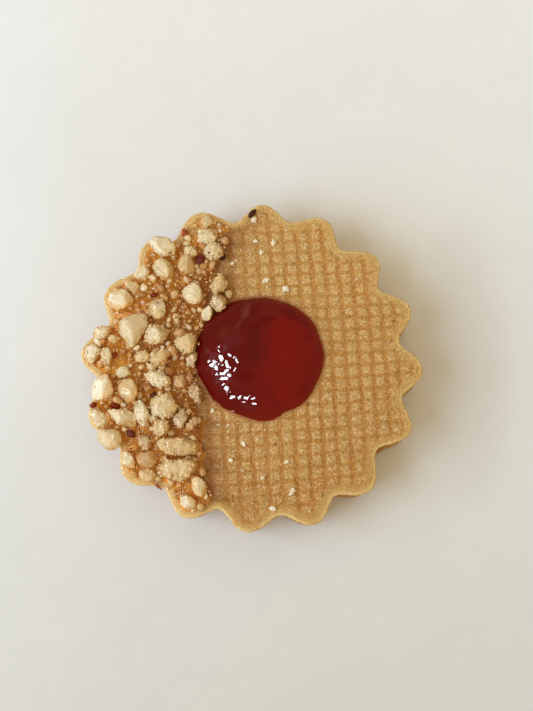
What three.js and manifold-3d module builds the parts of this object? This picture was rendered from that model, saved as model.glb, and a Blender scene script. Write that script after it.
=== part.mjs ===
// Linzer cookie: two scalloped shortbread biscuits sandwiched with a thin jam
// filling, a waffle imprint on the upper one, a drop of red jam in the middle
// and a crescent of glazed chopped nuts over the left third.
// Units are millimetres, +Z is up, the cookie lies flat on z = 0.
import * as THREE from 'three';
import { mergeVertices } from 'three/addons/utils/BufferGeometryUtils.js';
import Module from 'manifold-3d';

// ---------------------------------------------------------------- dimensions

// Scalloped outline. Each lobe: direction of its tip, reach of its tip, and
// direction and radius of the notch that follows it counter-clockwise.
const LOBES = [
  { tip: 20.0, reach: 32.9, notch: 31.5, waist: 29.0 },
  { tip: 41.5, reach: 32.7, notch: 53.8, waist: 29.2 },
  { tip: 64.4, reach: 32.9, notch: 76.2, waist: 29.9 },
  { tip: 87.0, reach: 32.8, notch: 97.5, waist: 29.1 },
  { tip: 110.8, reach: 32.9, notch: 123.0, waist: 29.7 },
  { tip: 131.5, reach: 32.6, notch: 141.6, waist: 29.9 },
  { tip: 153.4, reach: 32.5, notch: 164.6, waist: 29.5 },
  { tip: 177.0, reach: 33.6, notch: 187.2, waist: 30.0 },
  { tip: 199.5, reach: 33.4, notch: 211.8, waist: 30.3 },
  { tip: 222.6, reach: 33.0, notch: 234.8, waist: 29.7 },
  { tip: 246.0, reach: 32.4, notch: 256.8, waist: 28.9 },
  { tip: 267.8, reach: 32.4, notch: 279.5, waist: 29.7 },
  { tip: 290.9, reach: 33.0, notch: 300.8, waist: 29.9 },
  { tip: 311.8, reach: 33.0, notch: 324.3, waist: 29.0 },
  { tip: 336.2, reach: 32.9, notch: 346.8, waist: 29.5 },
  { tip: 357.8, reach: 32.9, notch: 369.0, waist: 28.8 },
];
const LOBE_FULLNESS = 0.065;   // makes the lobes wider than a plain wave
const STEPS_PER_FLANK = 4;     // outline points between a tip and a notch

const BISCUIT_THICKNESS = 4.0;
const BISCUIT_EDGE = 0.8;      // how far the rounded upper rim reaches inwards
const BISCUIT_FOOT = 0.55;     // small round at the lower rim
const FILLING_THICKNESS = 0.9;
const FILLING_INSET = 1.15;    // the filling stays back from the rim
const LAYER_GAP = 0.05;        // air between touching layers
const LOWER_SHIFT = new THREE.Vector2(0.25, -0.1); // the lower biscuit sits a little askew
const LOWER_SHRINK = 0.35;     // and came out of the oven a little smaller
const LOWER_TURN = THREE.MathUtils.degToRad(-1.2);

const LOWER_TOP = BISCUIT_THICKNESS;
const FILLING_BASE = LOWER_TOP + LAYER_GAP;
const FILLING_TOP = FILLING_BASE + FILLING_THICKNESS;
const UPPER_BASE = FILLING_TOP + LAYER_GAP;
const UPPER_TOP = UPPER_BASE + BISCUIT_THICKNESS;

// Waffle imprint: two families of V grooves, nearly square to each other.
// heading is the direction square to a family's grooves, in degrees.
const GROOVES = [
  { pitch: 2.678, heading: 2.67, offset: 0.157 },   // grooves running fore and aft
  { pitch: 2.384, heading: 94.33, offset: -0.237 }, // grooves running across
];
const GROOVE_WIDTH = 1.05;
const GROOVE_DEPTH = 0.34;
const GROOVE_WANDER = 0.16;    // unevenness of the grooves' crossings
const WAFFLE_MARGIN = 1.55;    // plain border inside the rim
const WAFFLE_CLEAR = 0.55;     // plain strip beside the jam and the nuts

// Jam drop.
const JAM_CENTRE = new THREE.Vector2(1.05, 1.0);
const JAM_RADIUS = 12.3;
const JAM_HEIGHT = 3.4;
const JAM_WOBBLE = [           // slow unevenness of its edge
  { waves: 2, size: 0.12, phase: 215 },
  { waves: 3, size: 0.16, phase: 100 },
  { waves: 5, size: 0.14, phase: 30 },
  { waves: 9, size: 0.07, phase: 160 },
];
const JAM_SEGMENTS = 46;
const JAM_RINGS = 8;
const JAM_SWELL = new THREE.Vector2(-0.06, -0.035); // the drop leans to the lower left

// Nut crescent: a glaze bed along the left rim, piled with chopped pieces.
const NUT_START = 101.5;       // direction where the crescent begins
const NUT_END = 250.5;         // and where it ends
const NUT_INNER_MID = -12.0;   // x of its inner edge on the middle line
const NUT_INNER_SLOPE = 0.060;
const NUT_INNER_BEND = 0.00566;
const NUT_RIM_INSET = 0.75;
const GLAZE_THICKNESS = 0.55;
const NUT_SPACING = 3.95;      // mean distance between the larger pieces
const NUT_SIZE = [2.8, 6.0];   // length range of the larger pieces
const NUT_TALLEST = 3.8;       // highest piece above the biscuit
const NUT_OVERHANG = 0.5;      // how far a piece may stick out over the rim
const NUT_JAM_GAP = 0.35;

// -------------------------------------------------------------------- tools

const wasm = await Module();
wasm.setup();

function toSolid(geometry) {
  const g = geometry.clone();
  g.deleteAttribute('normal');
  g.deleteAttribute('uv');
  const merged = mergeVertices(g, 1e-5);
  return new wasm.Manifold(new wasm.Mesh({
    numProp: 3,
    vertProperties: new Float32Array(merged.attributes.position.array),
    triVerts: new Uint32Array(merged.index.array),
  }));
}

function toGeometry(solid) {
  const mesh = solid.getMesh();
  const positions = new Float32Array(mesh.numVert * 3);
  for (let v = 0; v < mesh.numVert; v++) {
    for (let k = 0; k < 3; k++) positions[3 * v + k] = mesh.vertProperties[v * mesh.numProp + k];
  }
  const g = new THREE.BufferGeometry();
  g.setAttribute('position', new THREE.BufferAttribute(positions, 3));
  g.setIndex(new THREE.BufferAttribute(new Uint32Array(mesh.triVerts), 1));
  const flat = g.toNonIndexed();
  flat.computeVertexNormals();
  return flat;
}

// Small repeatable random numbers.
function dice(seed) {
  let s = seed >>> 0;
  return () => {
    s = (s + 0x6d2b79f5) >>> 0;
    let t = s;
    t = Math.imul(t ^ (t >>> 15), t | 1);
    t ^= t + Math.imul(t ^ (t >>> 7), t | 61);
    return ((t ^ (t >>> 14)) >>> 0) / 4294967296;
  };
}

// Closed solid through a stack of loops that all have the same point count.
function stackSolid(levels) {
  const n = levels[0].loop.length;
  const position = [];
  const index = [];
  for (const { loop, z } of levels) {
    for (let i = 0; i < n; i++) position.push(loop[i].x, loop[i].y, Array.isArray(z) ? z[i] : z);
  }
  for (let r = 0; r + 1 < levels.length; r++) {
    for (let i = 0; i < n; i++) {
      const a = r * n + i;
      const b = r * n + (i + 1) % n;
      index.push(a, b, b + n, a, b + n, a + n);
    }
  }
  const last = (levels.length - 1) * n;
  for (const [a, b, c] of THREE.ShapeUtils.triangulateShape(levels[0].loop, [])) index.push(c, b, a);
  for (const [a, b, c] of THREE.ShapeUtils.triangulateShape(levels.at(-1).loop, [])) {
    index.push(last + a, last + b, last + c);
  }
  const g = new THREE.BufferGeometry();
  g.setAttribute('position', new THREE.Float32BufferAttribute(position, 3));
  g.setIndex(index);
  return toSolid(g);
}

// ------------------------------------------------------------------ outline

// Tips and notches in turn, as [direction in degrees, radius].
const EXTREMES = LOBES.flatMap(l => [[l.tip, l.reach], [l.notch, l.waist]]);

function flank(from, to, t) {
  const rising = to[1] > from[1];
  const u = rising ? t : 1 - t;
  const low = rising ? from[1] : to[1];
  const high = rising ? to[1] : from[1];
  const s = (1 - Math.cos(Math.PI * u)) / 2 + LOBE_FULLNESS * Math.sin(Math.PI * u) ** 2;
  return low + (high - low) * s;
}

function rimRadius(degrees) {
  let d = (degrees - EXTREMES[0][0]) % 360;
  if (d < 0) d += 360;
  d += EXTREMES[0][0];
  for (let i = 0; i < EXTREMES.length; i++) {
    const a = EXTREMES[i];
    const b = i + 1 < EXTREMES.length ? EXTREMES[i + 1] : [EXTREMES[0][0] + 360, EXTREMES[0][1]];
    if (d >= a[0] && d <= b[0]) return flank(a, b, (d - a[0]) / (b[0] - a[0]));
  }
  return EXTREMES[0][1];
}

function rimPoint(degrees, inset = 0) {
  const at = (deg) => {
    const a = THREE.MathUtils.degToRad(deg);
    return new THREE.Vector2(Math.cos(a), Math.sin(a)).multiplyScalar(rimRadius(deg));
  };
  const p = at(degrees);
  if (inset === 0) return p;
  const along = at(degrees + 0.6).sub(at(degrees - 0.6)).normalize();
  return p.add(new THREE.Vector2(-along.y, along.x).multiplyScalar(inset));
}

function rimLoop(inset, steps = STEPS_PER_FLANK) {
  const loop = [];
  for (let i = 0; i < EXTREMES.length; i++) {
    const a = EXTREMES[i][0];
    const b = i + 1 < EXTREMES.length ? EXTREMES[i + 1][0] : EXTREMES[0][0] + 360;
    for (let k = 0; k < steps; k++) loop.push(rimPoint(a + (b - a) * k / steps, inset));
  }
  return loop;
}

function moved(loop, shift, turn) {
  return loop.map(p => p.clone().rotateAround(new THREE.Vector2(), turn).add(shift));
}

// ----------------------------------------------------------------- biscuits

// Levels of one biscuit: small round below, upright side, wide round above.
function biscuitLevels(base, top, shrink = 0) {
  const level = (inset, z) => ({ loop: rimLoop(inset + shrink), z });
  return [
    level(BISCUIT_FOOT, base),
    level(BISCUIT_FOOT * 0.25, base + BISCUIT_FOOT * 0.6),
    level(0, base + BISCUIT_FOOT * 1.9),
    level(0, top - BISCUIT_EDGE),
    level(BISCUIT_EDGE * 0.3, top - BISCUIT_EDGE * 0.3),
    level(BISCUIT_EDGE, top),
  ];
}

function lowerBiscuit() {
  const levels = biscuitLevels(0, LOWER_TOP, LOWER_SHRINK);
  for (const l of levels) l.loop = moved(l.loop, LOWER_SHIFT, LOWER_TURN);
  return stackSolid(levels);
}

function fillingLayer() {
  const shift = LOWER_SHIFT.clone().multiplyScalar(0.5);
  const level = (inset, z) => ({ loop: moved(rimLoop(inset, 2), shift, LOWER_TURN / 2), z });
  return stackSolid([
    level(FILLING_INSET + 0.3, FILLING_BASE),
    level(FILLING_INSET, (FILLING_BASE + FILLING_TOP) / 2),
    level(FILLING_INSET + 0.3, FILLING_TOP),
  ]);
}

function jamRadius(angle) {
  let r = JAM_RADIUS;
  for (const w of JAM_WOBBLE) r += w.size * Math.cos(w.waves * angle - THREE.MathUtils.degToRad(w.phase));
  return r;
}

function nutInnerX(y) {
  return NUT_INNER_MID + NUT_INNER_SLOPE * y + NUT_INNER_BEND * y * y;
}

// Whether the waffle imprint reaches this spot.
function imprinted(x, y) {
  const deg = THREE.MathUtils.radToDeg(Math.atan2(y, x));
  if (Math.hypot(x, y) > rimRadius(deg) - WAFFLE_MARGIN) return false;
  const jx = x - JAM_CENTRE.x;
  const jy = y - JAM_CENTRE.y;
  if (Math.hypot(jx, jy) < jamRadius(Math.atan2(jy, jx)) + WAFFLE_CLEAR) return false;
  return x > nutInnerX(y) + WAFFLE_CLEAR;
}

// Where groove i of the first family crosses groove j of the second. The
// imprint isn't quite regular, so each crossing sits a little off its place.
function crossing(i, j) {
  const [f, g] = GROOVES.map(({ pitch, heading }) => {
    const h = THREE.MathUtils.degToRad(heading);
    return new THREE.Vector2(Math.cos(h), Math.sin(h)).divideScalar(pitch);
  });
  const p = i + 0.5 + GROOVES[0].offset;
  const q = j + 0.5 + GROOVES[1].offset;
  const det = f.x * g.y - f.y * g.x;
  const roll = dice(1000 * (i + 50) + j + 50);
  return new THREE.Vector2(
    (p * g.y - q * f.y) / det + (roll() - 0.5) * GROOVE_WANDER,
    (f.x * q - g.x * p) / det + (roll() - 0.5) * GROOVE_WANDER);
}

// The nubs that the imprint is made of: cells of the lattice whose four
// corners all lie in the imprinted area, without any that hang on by a corner.
function imprintedCells() {
  const far = Math.ceil(36 / Math.min(...GROOVES.map(g => g.pitch)));
  const cells = new Set();
  for (let i = -far; i < far; i++) {
    for (let j = -far; j < far; j++) {
      const corners = [[i, j], [i + 1, j], [i + 1, j + 1], [i, j + 1]].map(([a, b]) => crossing(a, b));
      if (corners.every(c => imprinted(c.x, c.y))) cells.add(`${i},${j}`);
    }
  }
  const has = (i, j) => cells.has(`${i},${j}`);
  for (let again = true; again;) {
    again = false;
    for (const key of [...cells]) {
      const [i, j] = key.split(',').map(Number);
      const beside = [has(i - 1, j), has(i + 1, j), has(i, j - 1), has(i, j + 1)].filter(Boolean).length;
      const cornerOnly = [[-1, -1], [1, -1], [-1, 1], [1, 1]].some(([a, b]) =>
        has(i + a, j + b) && !has(i + a, j) && !has(i, j + b));
      if (beside < 2 || cornerOnly) {
        cells.delete(key);
        again = true;
      }
    }
  }
  return cells;
}

// The edge of the imprint, as one loop of lattice corners, nubs on its left.
function imprintEdge(cells) {
  const has = (i, j) => cells.has(`${i},${j}`);
  const next = new Map();
  for (const key of cells) {
    const [i, j] = key.split(',').map(Number);
    if (!has(i, j - 1)) next.set(`${i},${j}`, `${i + 1},${j}`);
    if (!has(i + 1, j)) next.set(`${i + 1},${j}`, `${i + 1},${j + 1}`);
    if (!has(i, j + 1)) next.set(`${i + 1},${j + 1}`, `${i},${j + 1}`);
    if (!has(i - 1, j)) next.set(`${i},${j + 1}`, `${i},${j}`);
  }
  const loop = [];
  const start = next.keys().next().value;
  for (let at = start; loop.length === 0 || at !== start; at = next.get(at)) loop.push(at);
  return loop;
}

function upperBiscuit() {
  const levels = biscuitLevels(UPPER_BASE, UPPER_TOP);
  const n = levels[0].loop.length;
  const position = [];
  const index = [];
  for (const { loop, z } of levels) for (const p of loop) position.push(p.x, p.y, z);
  for (let r = 0; r + 1 < levels.length; r++) {
    for (let i = 0; i < n; i++) {
      const a = r * n + i;
      const b = r * n + (i + 1) % n;
      index.push(a, b, b + n, a, b + n, a + n);
    }
  }
  for (const [a, b, c] of THREE.ShapeUtils.triangulateShape(levels[0].loop, [])) index.push(c, b, a);

  const add = (x, y, z) => position.push(x, y, z) / 3 - 1;
  const cells = imprintedCells();
  const edge = imprintEdge(cells);

  // Groove crossings: level with the surface along the edge, sunk inside it.
  const corner = new Map();
  for (const key of edge) {
    const p = crossing(...key.split(',').map(Number));
    corner.set(key, add(p.x, p.y, UPPER_TOP));
  }
  const cornerOf = (i, j) => {
    const key = `${i},${j}`;
    if (!corner.has(key)) {
      const p = crossing(i, j);
      corner.set(key, add(p.x, p.y, UPPER_TOP - GROOVE_DEPTH));
    }
    return corner.get(key);
  };

  // Each nub: a flat top inside four slopes.
  for (const key of cells) {
    const [i, j] = key.split(',').map(Number);
    const around = [[i, j], [i + 1, j], [i + 1, j + 1], [i, j + 1]];
    const at = around.map(([a, b]) => crossing(a, b));
    const outer = around.map(([a, b]) => cornerOf(a, b));
    const middle = at.reduce((m, p) => m.add(p), new THREE.Vector2()).divideScalar(4);
    const inner = at.map((p) => {
      const q = middle.clone().lerp(p, 1 - GROOVE_WIDTH / (GROOVES[0].pitch + GROOVES[1].pitch) * 2);
      return add(q.x, q.y, UPPER_TOP);
    });
    index.push(inner[0], inner[1], inner[2], inner[0], inner[2], inner[3]);
    for (let k = 0; k < 4; k++) {
      const l = (k + 1) % 4;
      index.push(outer[k], outer[l], inner[l], outer[k], inner[l], inner[k]);
    }
  }

  // The plain part of the top runs from the rim to the edge of the imprint.
  const last = (levels.length - 1) * n;
  const rim = levels.at(-1).loop;
  const hole = edge.map(key => crossing(...key.split(',').map(Number)));
  const vertexOf = k => (k < n ? last + k : corner.get(edge[k - n]));
  for (const [a, b, c] of THREE.ShapeUtils.triangulateShape(rim, [hole])) {
    const [p, q, r] = [a, b, c].map(k => (k < n ? rim[k] : hole[k - n]));
    const turn = (q.x - p.x) * (r.y - p.y) - (q.y - p.y) * (r.x - p.x);
    if (turn > 0) index.push(vertexOf(a), vertexOf(b), vertexOf(c));
    else index.push(vertexOf(a), vertexOf(c), vertexOf(b));
  }

  const g = new THREE.BufferGeometry();
  g.setAttribute('position', new THREE.Float32BufferAttribute(position, 3));
  g.setIndex(index);
  return toSolid(g);
}

// ---------------------------------------------------------------------- jam

// Height of the drop at a share u of the way from its middle to its edge.
function jamRise(u) {
  return JAM_HEIGHT * (1 - u ** 2.3) ** 0.72;
}

function jamDrop() {
  const levels = [];
  const ring = (u, z, grow = 0) => {
    const loop = [];
    for (let i = 0; i < JAM_SEGMENTS; i++) {
      const a = (2 * Math.PI * i) / JAM_SEGMENTS;
      const r = (jamRadius(a) + grow) * u;
      const lean = jamRise(u) * (1 - u);
      loop.push(new THREE.Vector2(
        JAM_CENTRE.x + r * Math.cos(a) + JAM_SWELL.x * lean,
        JAM_CENTRE.y + r * Math.sin(a) + JAM_SWELL.y * lean));
    }
    levels.push({ loop, z });
  };
  const base = UPPER_TOP + LAYER_GAP;
  ring(1, base, -0.12);
  ring(1, base + 0.3);
  for (let k = 1; k <= JAM_RINGS; k++) {
    const u = Math.cos((Math.PI / 2) * (k / (JAM_RINGS + 1)));
    ring(u, Math.max(base + 0.3 + 0.04 * k, UPPER_TOP + jamRise(u)));
  }
  return stackSolid(levels);
}

// --------------------------------------------------------------------- nuts

function insideCrescent(x, y, inset) {
  let deg = THREE.MathUtils.radToDeg(Math.atan2(y, x));
  if (deg < 0) deg += 360;
  if (deg < NUT_START || deg > NUT_END) return false;
  if (Math.hypot(x, y) > rimRadius(deg) - inset) return false;
  return x < nutInnerX(y) - inset * 0.6;
}

// The bed of glaze: rim on one side, the bent inner edge on the other.
function glazeBed(base) {
  const outline = (inset) => {
    const loop = [];
    const sweep = NUT_END - NUT_START;
    const steps = 60;
    for (let i = 0; i <= steps; i++) loop.push(rimPoint(NUT_START + (sweep * i) / steps, NUT_RIM_INSET + inset));
    const first = loop[0];
    const last = loop.at(-1);
    const inner = 18;
    for (let i = 1; i < inner; i++) {
      const y = THREE.MathUtils.lerp(last.y, first.y, i / inner);
      const blend = Math.sin((Math.PI * i) / inner);
      const straight = THREE.MathUtils.lerp(last.x, first.x, i / inner);
      const x = THREE.MathUtils.lerp(straight, nutInnerX(y) - inset, Math.min(1, blend * 2.2));
      loop.push(new THREE.Vector2(x, y));
    }
    return loop;
  };
  return stackSolid([
    { loop: outline(0), z: base },
    { loop: outline(0), z: base + GLAZE_THICKNESS * 0.5 },
    { loop: outline(0.45), z: base + GLAZE_THICKNESS },
  ]);
}

// One chopped piece: an uneven many-sided lump.
function nutPiece(size, roll) {
  const g = new THREE.IcosahedronGeometry(0.5, 0);
  g.deleteAttribute('normal');
  g.deleteAttribute('uv');
  const lump = mergeVertices(g, 1e-4);
  const p = lump.attributes.position;
  for (let i = 0; i < p.count; i++) {
    const k = 0.86 + 0.3 * roll();
    p.setXYZ(i, p.getX(i) * k * size.x, p.getY(i) * k * size.y, p.getZ(i) * k * size.z);
  }
  return lump;
}

function nutCrescent() {
  const base = UPPER_TOP + LAYER_GAP;
  const roll = dice(20);
  let solid = glazeBed(base);
  const row = NUT_SPACING * Math.sqrt(3) / 2;
  for (let j = -9; j <= 9; j++) {
    for (let i = -10; i <= 1; i++) {
      const jog = () => (roll() - 0.5) * NUT_SPACING * 0.55;
      const x = (i + (j & 1) * 0.5) * NUT_SPACING + jog();
      const y = j * row + jog();
      const length = THREE.MathUtils.lerp(NUT_SIZE[0], NUT_SIZE[1], roll());
      const size = new THREE.Vector3(length, length * (0.62 + 0.35 * roll()), length * (0.62 + 0.3 * roll()));
      const spin = roll() * Math.PI;
      const tilt = (roll() - 0.5) * 0.7;
      if (!insideCrescent(x, y, length / 2 - NUT_OVERHANG)) continue;
      const geometry = nutPiece(size, roll);
      geometry.rotateX(tilt);
      geometry.rotateZ(spin);
      geometry.computeBoundingBox();
      const height = geometry.boundingBox.max.z - geometry.boundingBox.min.z;
      const sunk = -geometry.boundingBox.min.z - 0.16 * height;
      const rise = Math.min(sunk, NUT_TALLEST - geometry.boundingBox.max.z);
      geometry.translate(x, y, base + rise);
      solid = solid.add(toSolid(geometry));
    }
  }
  // Nothing of the heap reaches down into the biscuit or into the jam.
  const under = toSolid(new THREE.BoxGeometry(90, 90, 10).translate(0, 0, base - 5));
  const jamClear = new THREE.CylinderGeometry(JAM_RADIUS + NUT_JAM_GAP + 0.25, JAM_RADIUS + NUT_JAM_GAP + 0.25, 20, 64)
    .rotateX(Math.PI / 2).translate(JAM_CENTRE.x, JAM_CENTRE.y, base);
  return solid.subtract(under).subtract(toSolid(jamClear));
}

// ----------------------------------------------------------------- assembly

const SHORTBREAD = { color: 0xc39a62, roughness: 0.82, metalness: 0 };
const BROWNED = { color: 0xb58650, roughness: 0.85, metalness: 0 };
const RED_JAM = { color: 0x6e1a14, roughness: 0.12, metalness: 0 };
const GLAZED_NUT = { color: 0xdcc090, roughness: 0.4, metalness: 0 };

const cookie = new THREE.Group();
const pieces = new THREE.Group();
cookie.add(pieces);

function place(name, solid, look) {
  const mesh = new THREE.Mesh(toGeometry(solid), new THREE.MeshStandardMaterial(look));
  mesh.name = name;
  pieces.add(mesh);
}

place('lower_biscuit', lowerBiscuit(), BROWNED);
place('filling', fillingLayer(), RED_JAM);
place('upper_biscuit', upperBiscuit(), SHORTBREAD);
place('jam_drop', jamDrop(), RED_JAM);
place('nut_crescent', nutCrescent(), GLAZED_NUT);

// The origin is the middle of the footprint, on the underside.
const extent = new THREE.Box3().setFromObject(pieces);
pieces.position.set(
  -(extent.min.x + extent.max.x) / 2,
  -(extent.min.y + extent.max.y) / 2,
  -extent.min.z);

export default cookie;
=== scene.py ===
"""A scalloped linzer cookie: waffle-imprinted shortbread sandwich, jam drop, glazed chopped nuts."""
import bpy
import bmesh
import math
import numpy as np
from mathutils import Matrix, Vector


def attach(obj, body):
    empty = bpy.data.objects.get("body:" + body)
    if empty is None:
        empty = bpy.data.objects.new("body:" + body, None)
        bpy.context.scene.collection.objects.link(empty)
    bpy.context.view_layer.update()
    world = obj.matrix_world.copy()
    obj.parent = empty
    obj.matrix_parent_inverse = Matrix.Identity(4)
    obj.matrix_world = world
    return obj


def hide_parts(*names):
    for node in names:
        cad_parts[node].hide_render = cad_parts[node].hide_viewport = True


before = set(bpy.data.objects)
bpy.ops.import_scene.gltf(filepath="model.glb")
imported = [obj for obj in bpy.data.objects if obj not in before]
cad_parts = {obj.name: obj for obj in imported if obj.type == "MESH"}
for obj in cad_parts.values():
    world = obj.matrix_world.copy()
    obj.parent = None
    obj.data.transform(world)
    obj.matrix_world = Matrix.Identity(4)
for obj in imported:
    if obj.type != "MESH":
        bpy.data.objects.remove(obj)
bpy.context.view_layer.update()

# ------------------------------------------------------------------ sizes, mm
# Lengths are in millimetres about the cookie's centre; SHIFT takes them to the row frame.
SHIFT = np.array([0.3391, -0.1895, 0.0])
TOP = 9.0                    # top of the upper biscuit
UPPER_FOOT, LOWER_TOP = 5.0, 4.0
EDGE, FOOT = 0.42, 0.5       # rounding of the upper and lower arris of a biscuit
FILLING_INSET = 1.15
UNDERCUT = 0.35              # the upper biscuit's side leans in by this at its foot
LOWER_TURN, LOWER_SHIFT, LOWER_SHRINK = -1.2, (0.25, -0.1), 0.6   # the lower biscuit lies a little askew
LOBES = [  # tip angle, reach, notch angle, waist
    (20.0, 32.9, 31.5, 29.0), (41.5, 32.7, 53.8, 29.2), (64.4, 32.9, 76.2, 29.9),
    (87.0, 32.8, 97.5, 29.1), (110.8, 32.9, 123.0, 29.7), (131.5, 32.6, 141.6, 29.9),
    (153.4, 32.5, 164.6, 29.5), (177.0, 33.6, 187.2, 30.0), (199.5, 33.4, 211.8, 30.3),
    (222.6, 33.0, 234.8, 29.7), (246.0, 32.4, 256.8, 28.9), (267.8, 32.4, 279.5, 29.7),
    (290.9, 33.0, 300.8, 29.9), (311.8, 33.0, 324.3, 29.0), (336.2, 32.9, 346.8, 29.5),
    (357.8, 32.9, 369.0, 28.8)]
JAM_CENTRE, JAM_RADIUS, JAM_HEIGHT = np.array([1.05, 1.08]), 12.3, 3.55
JAM_WAVES = [(1, 0.12, 100), (2, 0.20, -12), (3, 0.19, 96), (5, 0.05, -102), (7, 0.05, 114),
             (8, 0.08, 6), (9, 0.08, -52), (13, 0.05, 40)]

# The camera stands 194.6 mm from the middle of the top, leaning 13 degrees back.
EYE = np.array([-2.93, -41.95, 198.6])


def smooth(a, b, x):
    t = np.clip((x - a) / (b - a), 0.0, 1.0)
    return t * t * (3 - 2 * t)


def mix(a, b, t):
    t = np.asarray(t)[..., None]
    return a * (1 - t) + b * t


# white paper under the key and the room light, linear; a seen colour over this is the surface's own
LIGHT = np.array([0.90, 0.875, 0.84])


def srgb(r, g, b):
    c = np.array([r, g, b], float) / 255
    return np.where(c <= 0.04045, c / 12.92, ((c + 0.055) / 1.055) ** 2.4)


def paint(r, g, b):
    """The surface colour that shows as r, g, b on the lit top."""
    return np.clip(srgb(r, g, b) / LIGHT, 0, 0.95)


# ------------------------------------------------------------------ noise
def _lattice(ix, iy, iz, seed):
    h = (ix.astype(np.uint32) * np.uint32(374761393) + iy.astype(np.uint32) * np.uint32(668265263)
         + iz.astype(np.uint32) * np.uint32(2246822519) + np.uint32(seed * 144665 + 97531))
    h ^= h >> np.uint32(13)
    h *= np.uint32(1274126177)
    h ^= h >> np.uint32(16)
    h *= np.uint32(2654435761)
    h ^= h >> np.uint32(15)
    return h


def noise(p, seed=0):
    """Gradient noise, about -1 to 1, at points p (N, 3)."""
    p = np.asarray(p, float)
    i = np.floor(p).astype(np.int64)
    f = p - i
    u = f * f * f * (f * (f * 6 - 15) + 10)
    out = np.zeros(len(p))
    for dx in (0, 1):
        for dy in (0, 1):
            for dz in (0, 1):
                h = _lattice((i[:, 0] + dx) & 0xFFFFFFFF, (i[:, 1] + dy) & 0xFFFFFFFF,
                             (i[:, 2] + dz) & 0xFFFFFFFF, seed)
                gx = (h & np.uint32(1023)).astype(float) / 511.5 - 1
                gy = ((h >> np.uint32(10)) & np.uint32(1023)).astype(float) / 511.5 - 1
                gz = ((h >> np.uint32(20)) & np.uint32(1023)).astype(float) / 511.5 - 1
                d = gx * (f[:, 0] - dx) + gy * (f[:, 1] - dy) + gz * (f[:, 2] - dz)
                w = (np.where(dx, u[:, 0], 1 - u[:, 0]) * np.where(dy, u[:, 1], 1 - u[:, 1])
                     * np.where(dz, u[:, 2], 1 - u[:, 2]))
                out += w * d
    return out * 1.5


def fbm(p, octaves=3, seed=0):
    out, a, s = 0.0, 1.0, 0.0
    for k in range(octaves):
        out = out + a * noise(np.asarray(p) * 2.03 ** k + 17.3 * k, seed + k)
        s += a
        a *= 0.55
    return out / s


def flat(x, y, f, z=0.37):
    return np.stack([x * f, y * f, np.full_like(x, z)], -1)


def cellhash(i, j, seed):
    return _lattice(i.astype(np.int64) & 0xFFFFFFFF, j.astype(np.int64) & 0xFFFFFFFF,
                    np.full(i.shape, seed, np.int64), seed).astype(float) / 4294967295.0


# ------------------------------------------------------------------ outline
def outline_radius(deg):
    """The scalloped outline: from each notch to each tip on a cosine, with a fuller shoulder."""
    nodes = []
    for tip, reach, notch, waist in LOBES:
        nodes += [(tip, reach, 1), (notch, waist, 0)]
    nodes.sort()
    first, last = nodes[0], nodes[-1]
    nodes = [(last[0] - 360, last[1], last[2])] + nodes + [(first[0] + 360, first[1], first[2])]
    a = np.array([n[0] for n in nodes])
    r = np.array([n[1] for n in nodes])
    k = np.array([n[2] for n in nodes])
    base = np.mod(deg - (a[0] + 360), 360) + (a[0] + 360) - 0.0
    base = np.where(base >= a[-1], base - 360, base)
    j = np.clip(np.searchsorted(a, base, side="right") - 1, 0, len(a) - 2)
    t = (base - a[j]) / (a[j + 1] - a[j])
    u = np.where(k[j] == 0, t, 1 - t)
    low = np.where(k[j] == 0, r[j], r[j + 1])
    high = np.where(k[j] == 0, r[j + 1], r[j])
    s = (1 - np.cos(np.pi * u)) / 2 + 0.065 * np.sin(np.pi * u) ** 2
    return low + (high - low) * s


def outline(count, turn=0.0, shift=(0.0, 0.0)):
    """count points of the outline, and their outward normals."""
    deg = np.arange(count) * 360.0 / count
    r = outline_radius(deg)
    a = np.radians(deg + turn)
    p = np.stack([r * np.cos(a) + shift[0], r * np.sin(a) + shift[1]], -1)
    t = np.roll(p, -1, 0) - np.roll(p, 1, 0)
    n = np.stack([t[:, 1], -t[:, 0]], -1)
    n /= np.linalg.norm(n, axis=1)[:, None]
    return p, n


def jam_outline(a):
    r = JAM_RADIUS
    for k, amp, ph in JAM_WAVES:
        r = r + amp * np.cos(k * a - math.radians(ph))
    return r


def glaze_border(y):
    """x of the glaze film's inner border."""
    return -10.6 + 0.07 * y + 0.0053 * y * y + 0.5 * np.sin(y * 0.9) + 0.35 * np.sin(y * 2.1 + 1)


def apparent(p):
    """Where the camera sees the point p against the plane of the top."""
    p = np.asarray(p, float)
    k = (EYE[2] - TOP) / (EYE[2] - p[..., 2])
    return EYE[:2] + (p[..., :2] - EYE[:2]) * k[..., None]


def standing(x, y, h):
    """The place of a point h above the top that is seen against the plane of the top at x, y."""
    return EYE[:2] + (np.array([x, y]) - EYE[:2]) * (1 - h / (EYE[2] - TOP))


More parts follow.
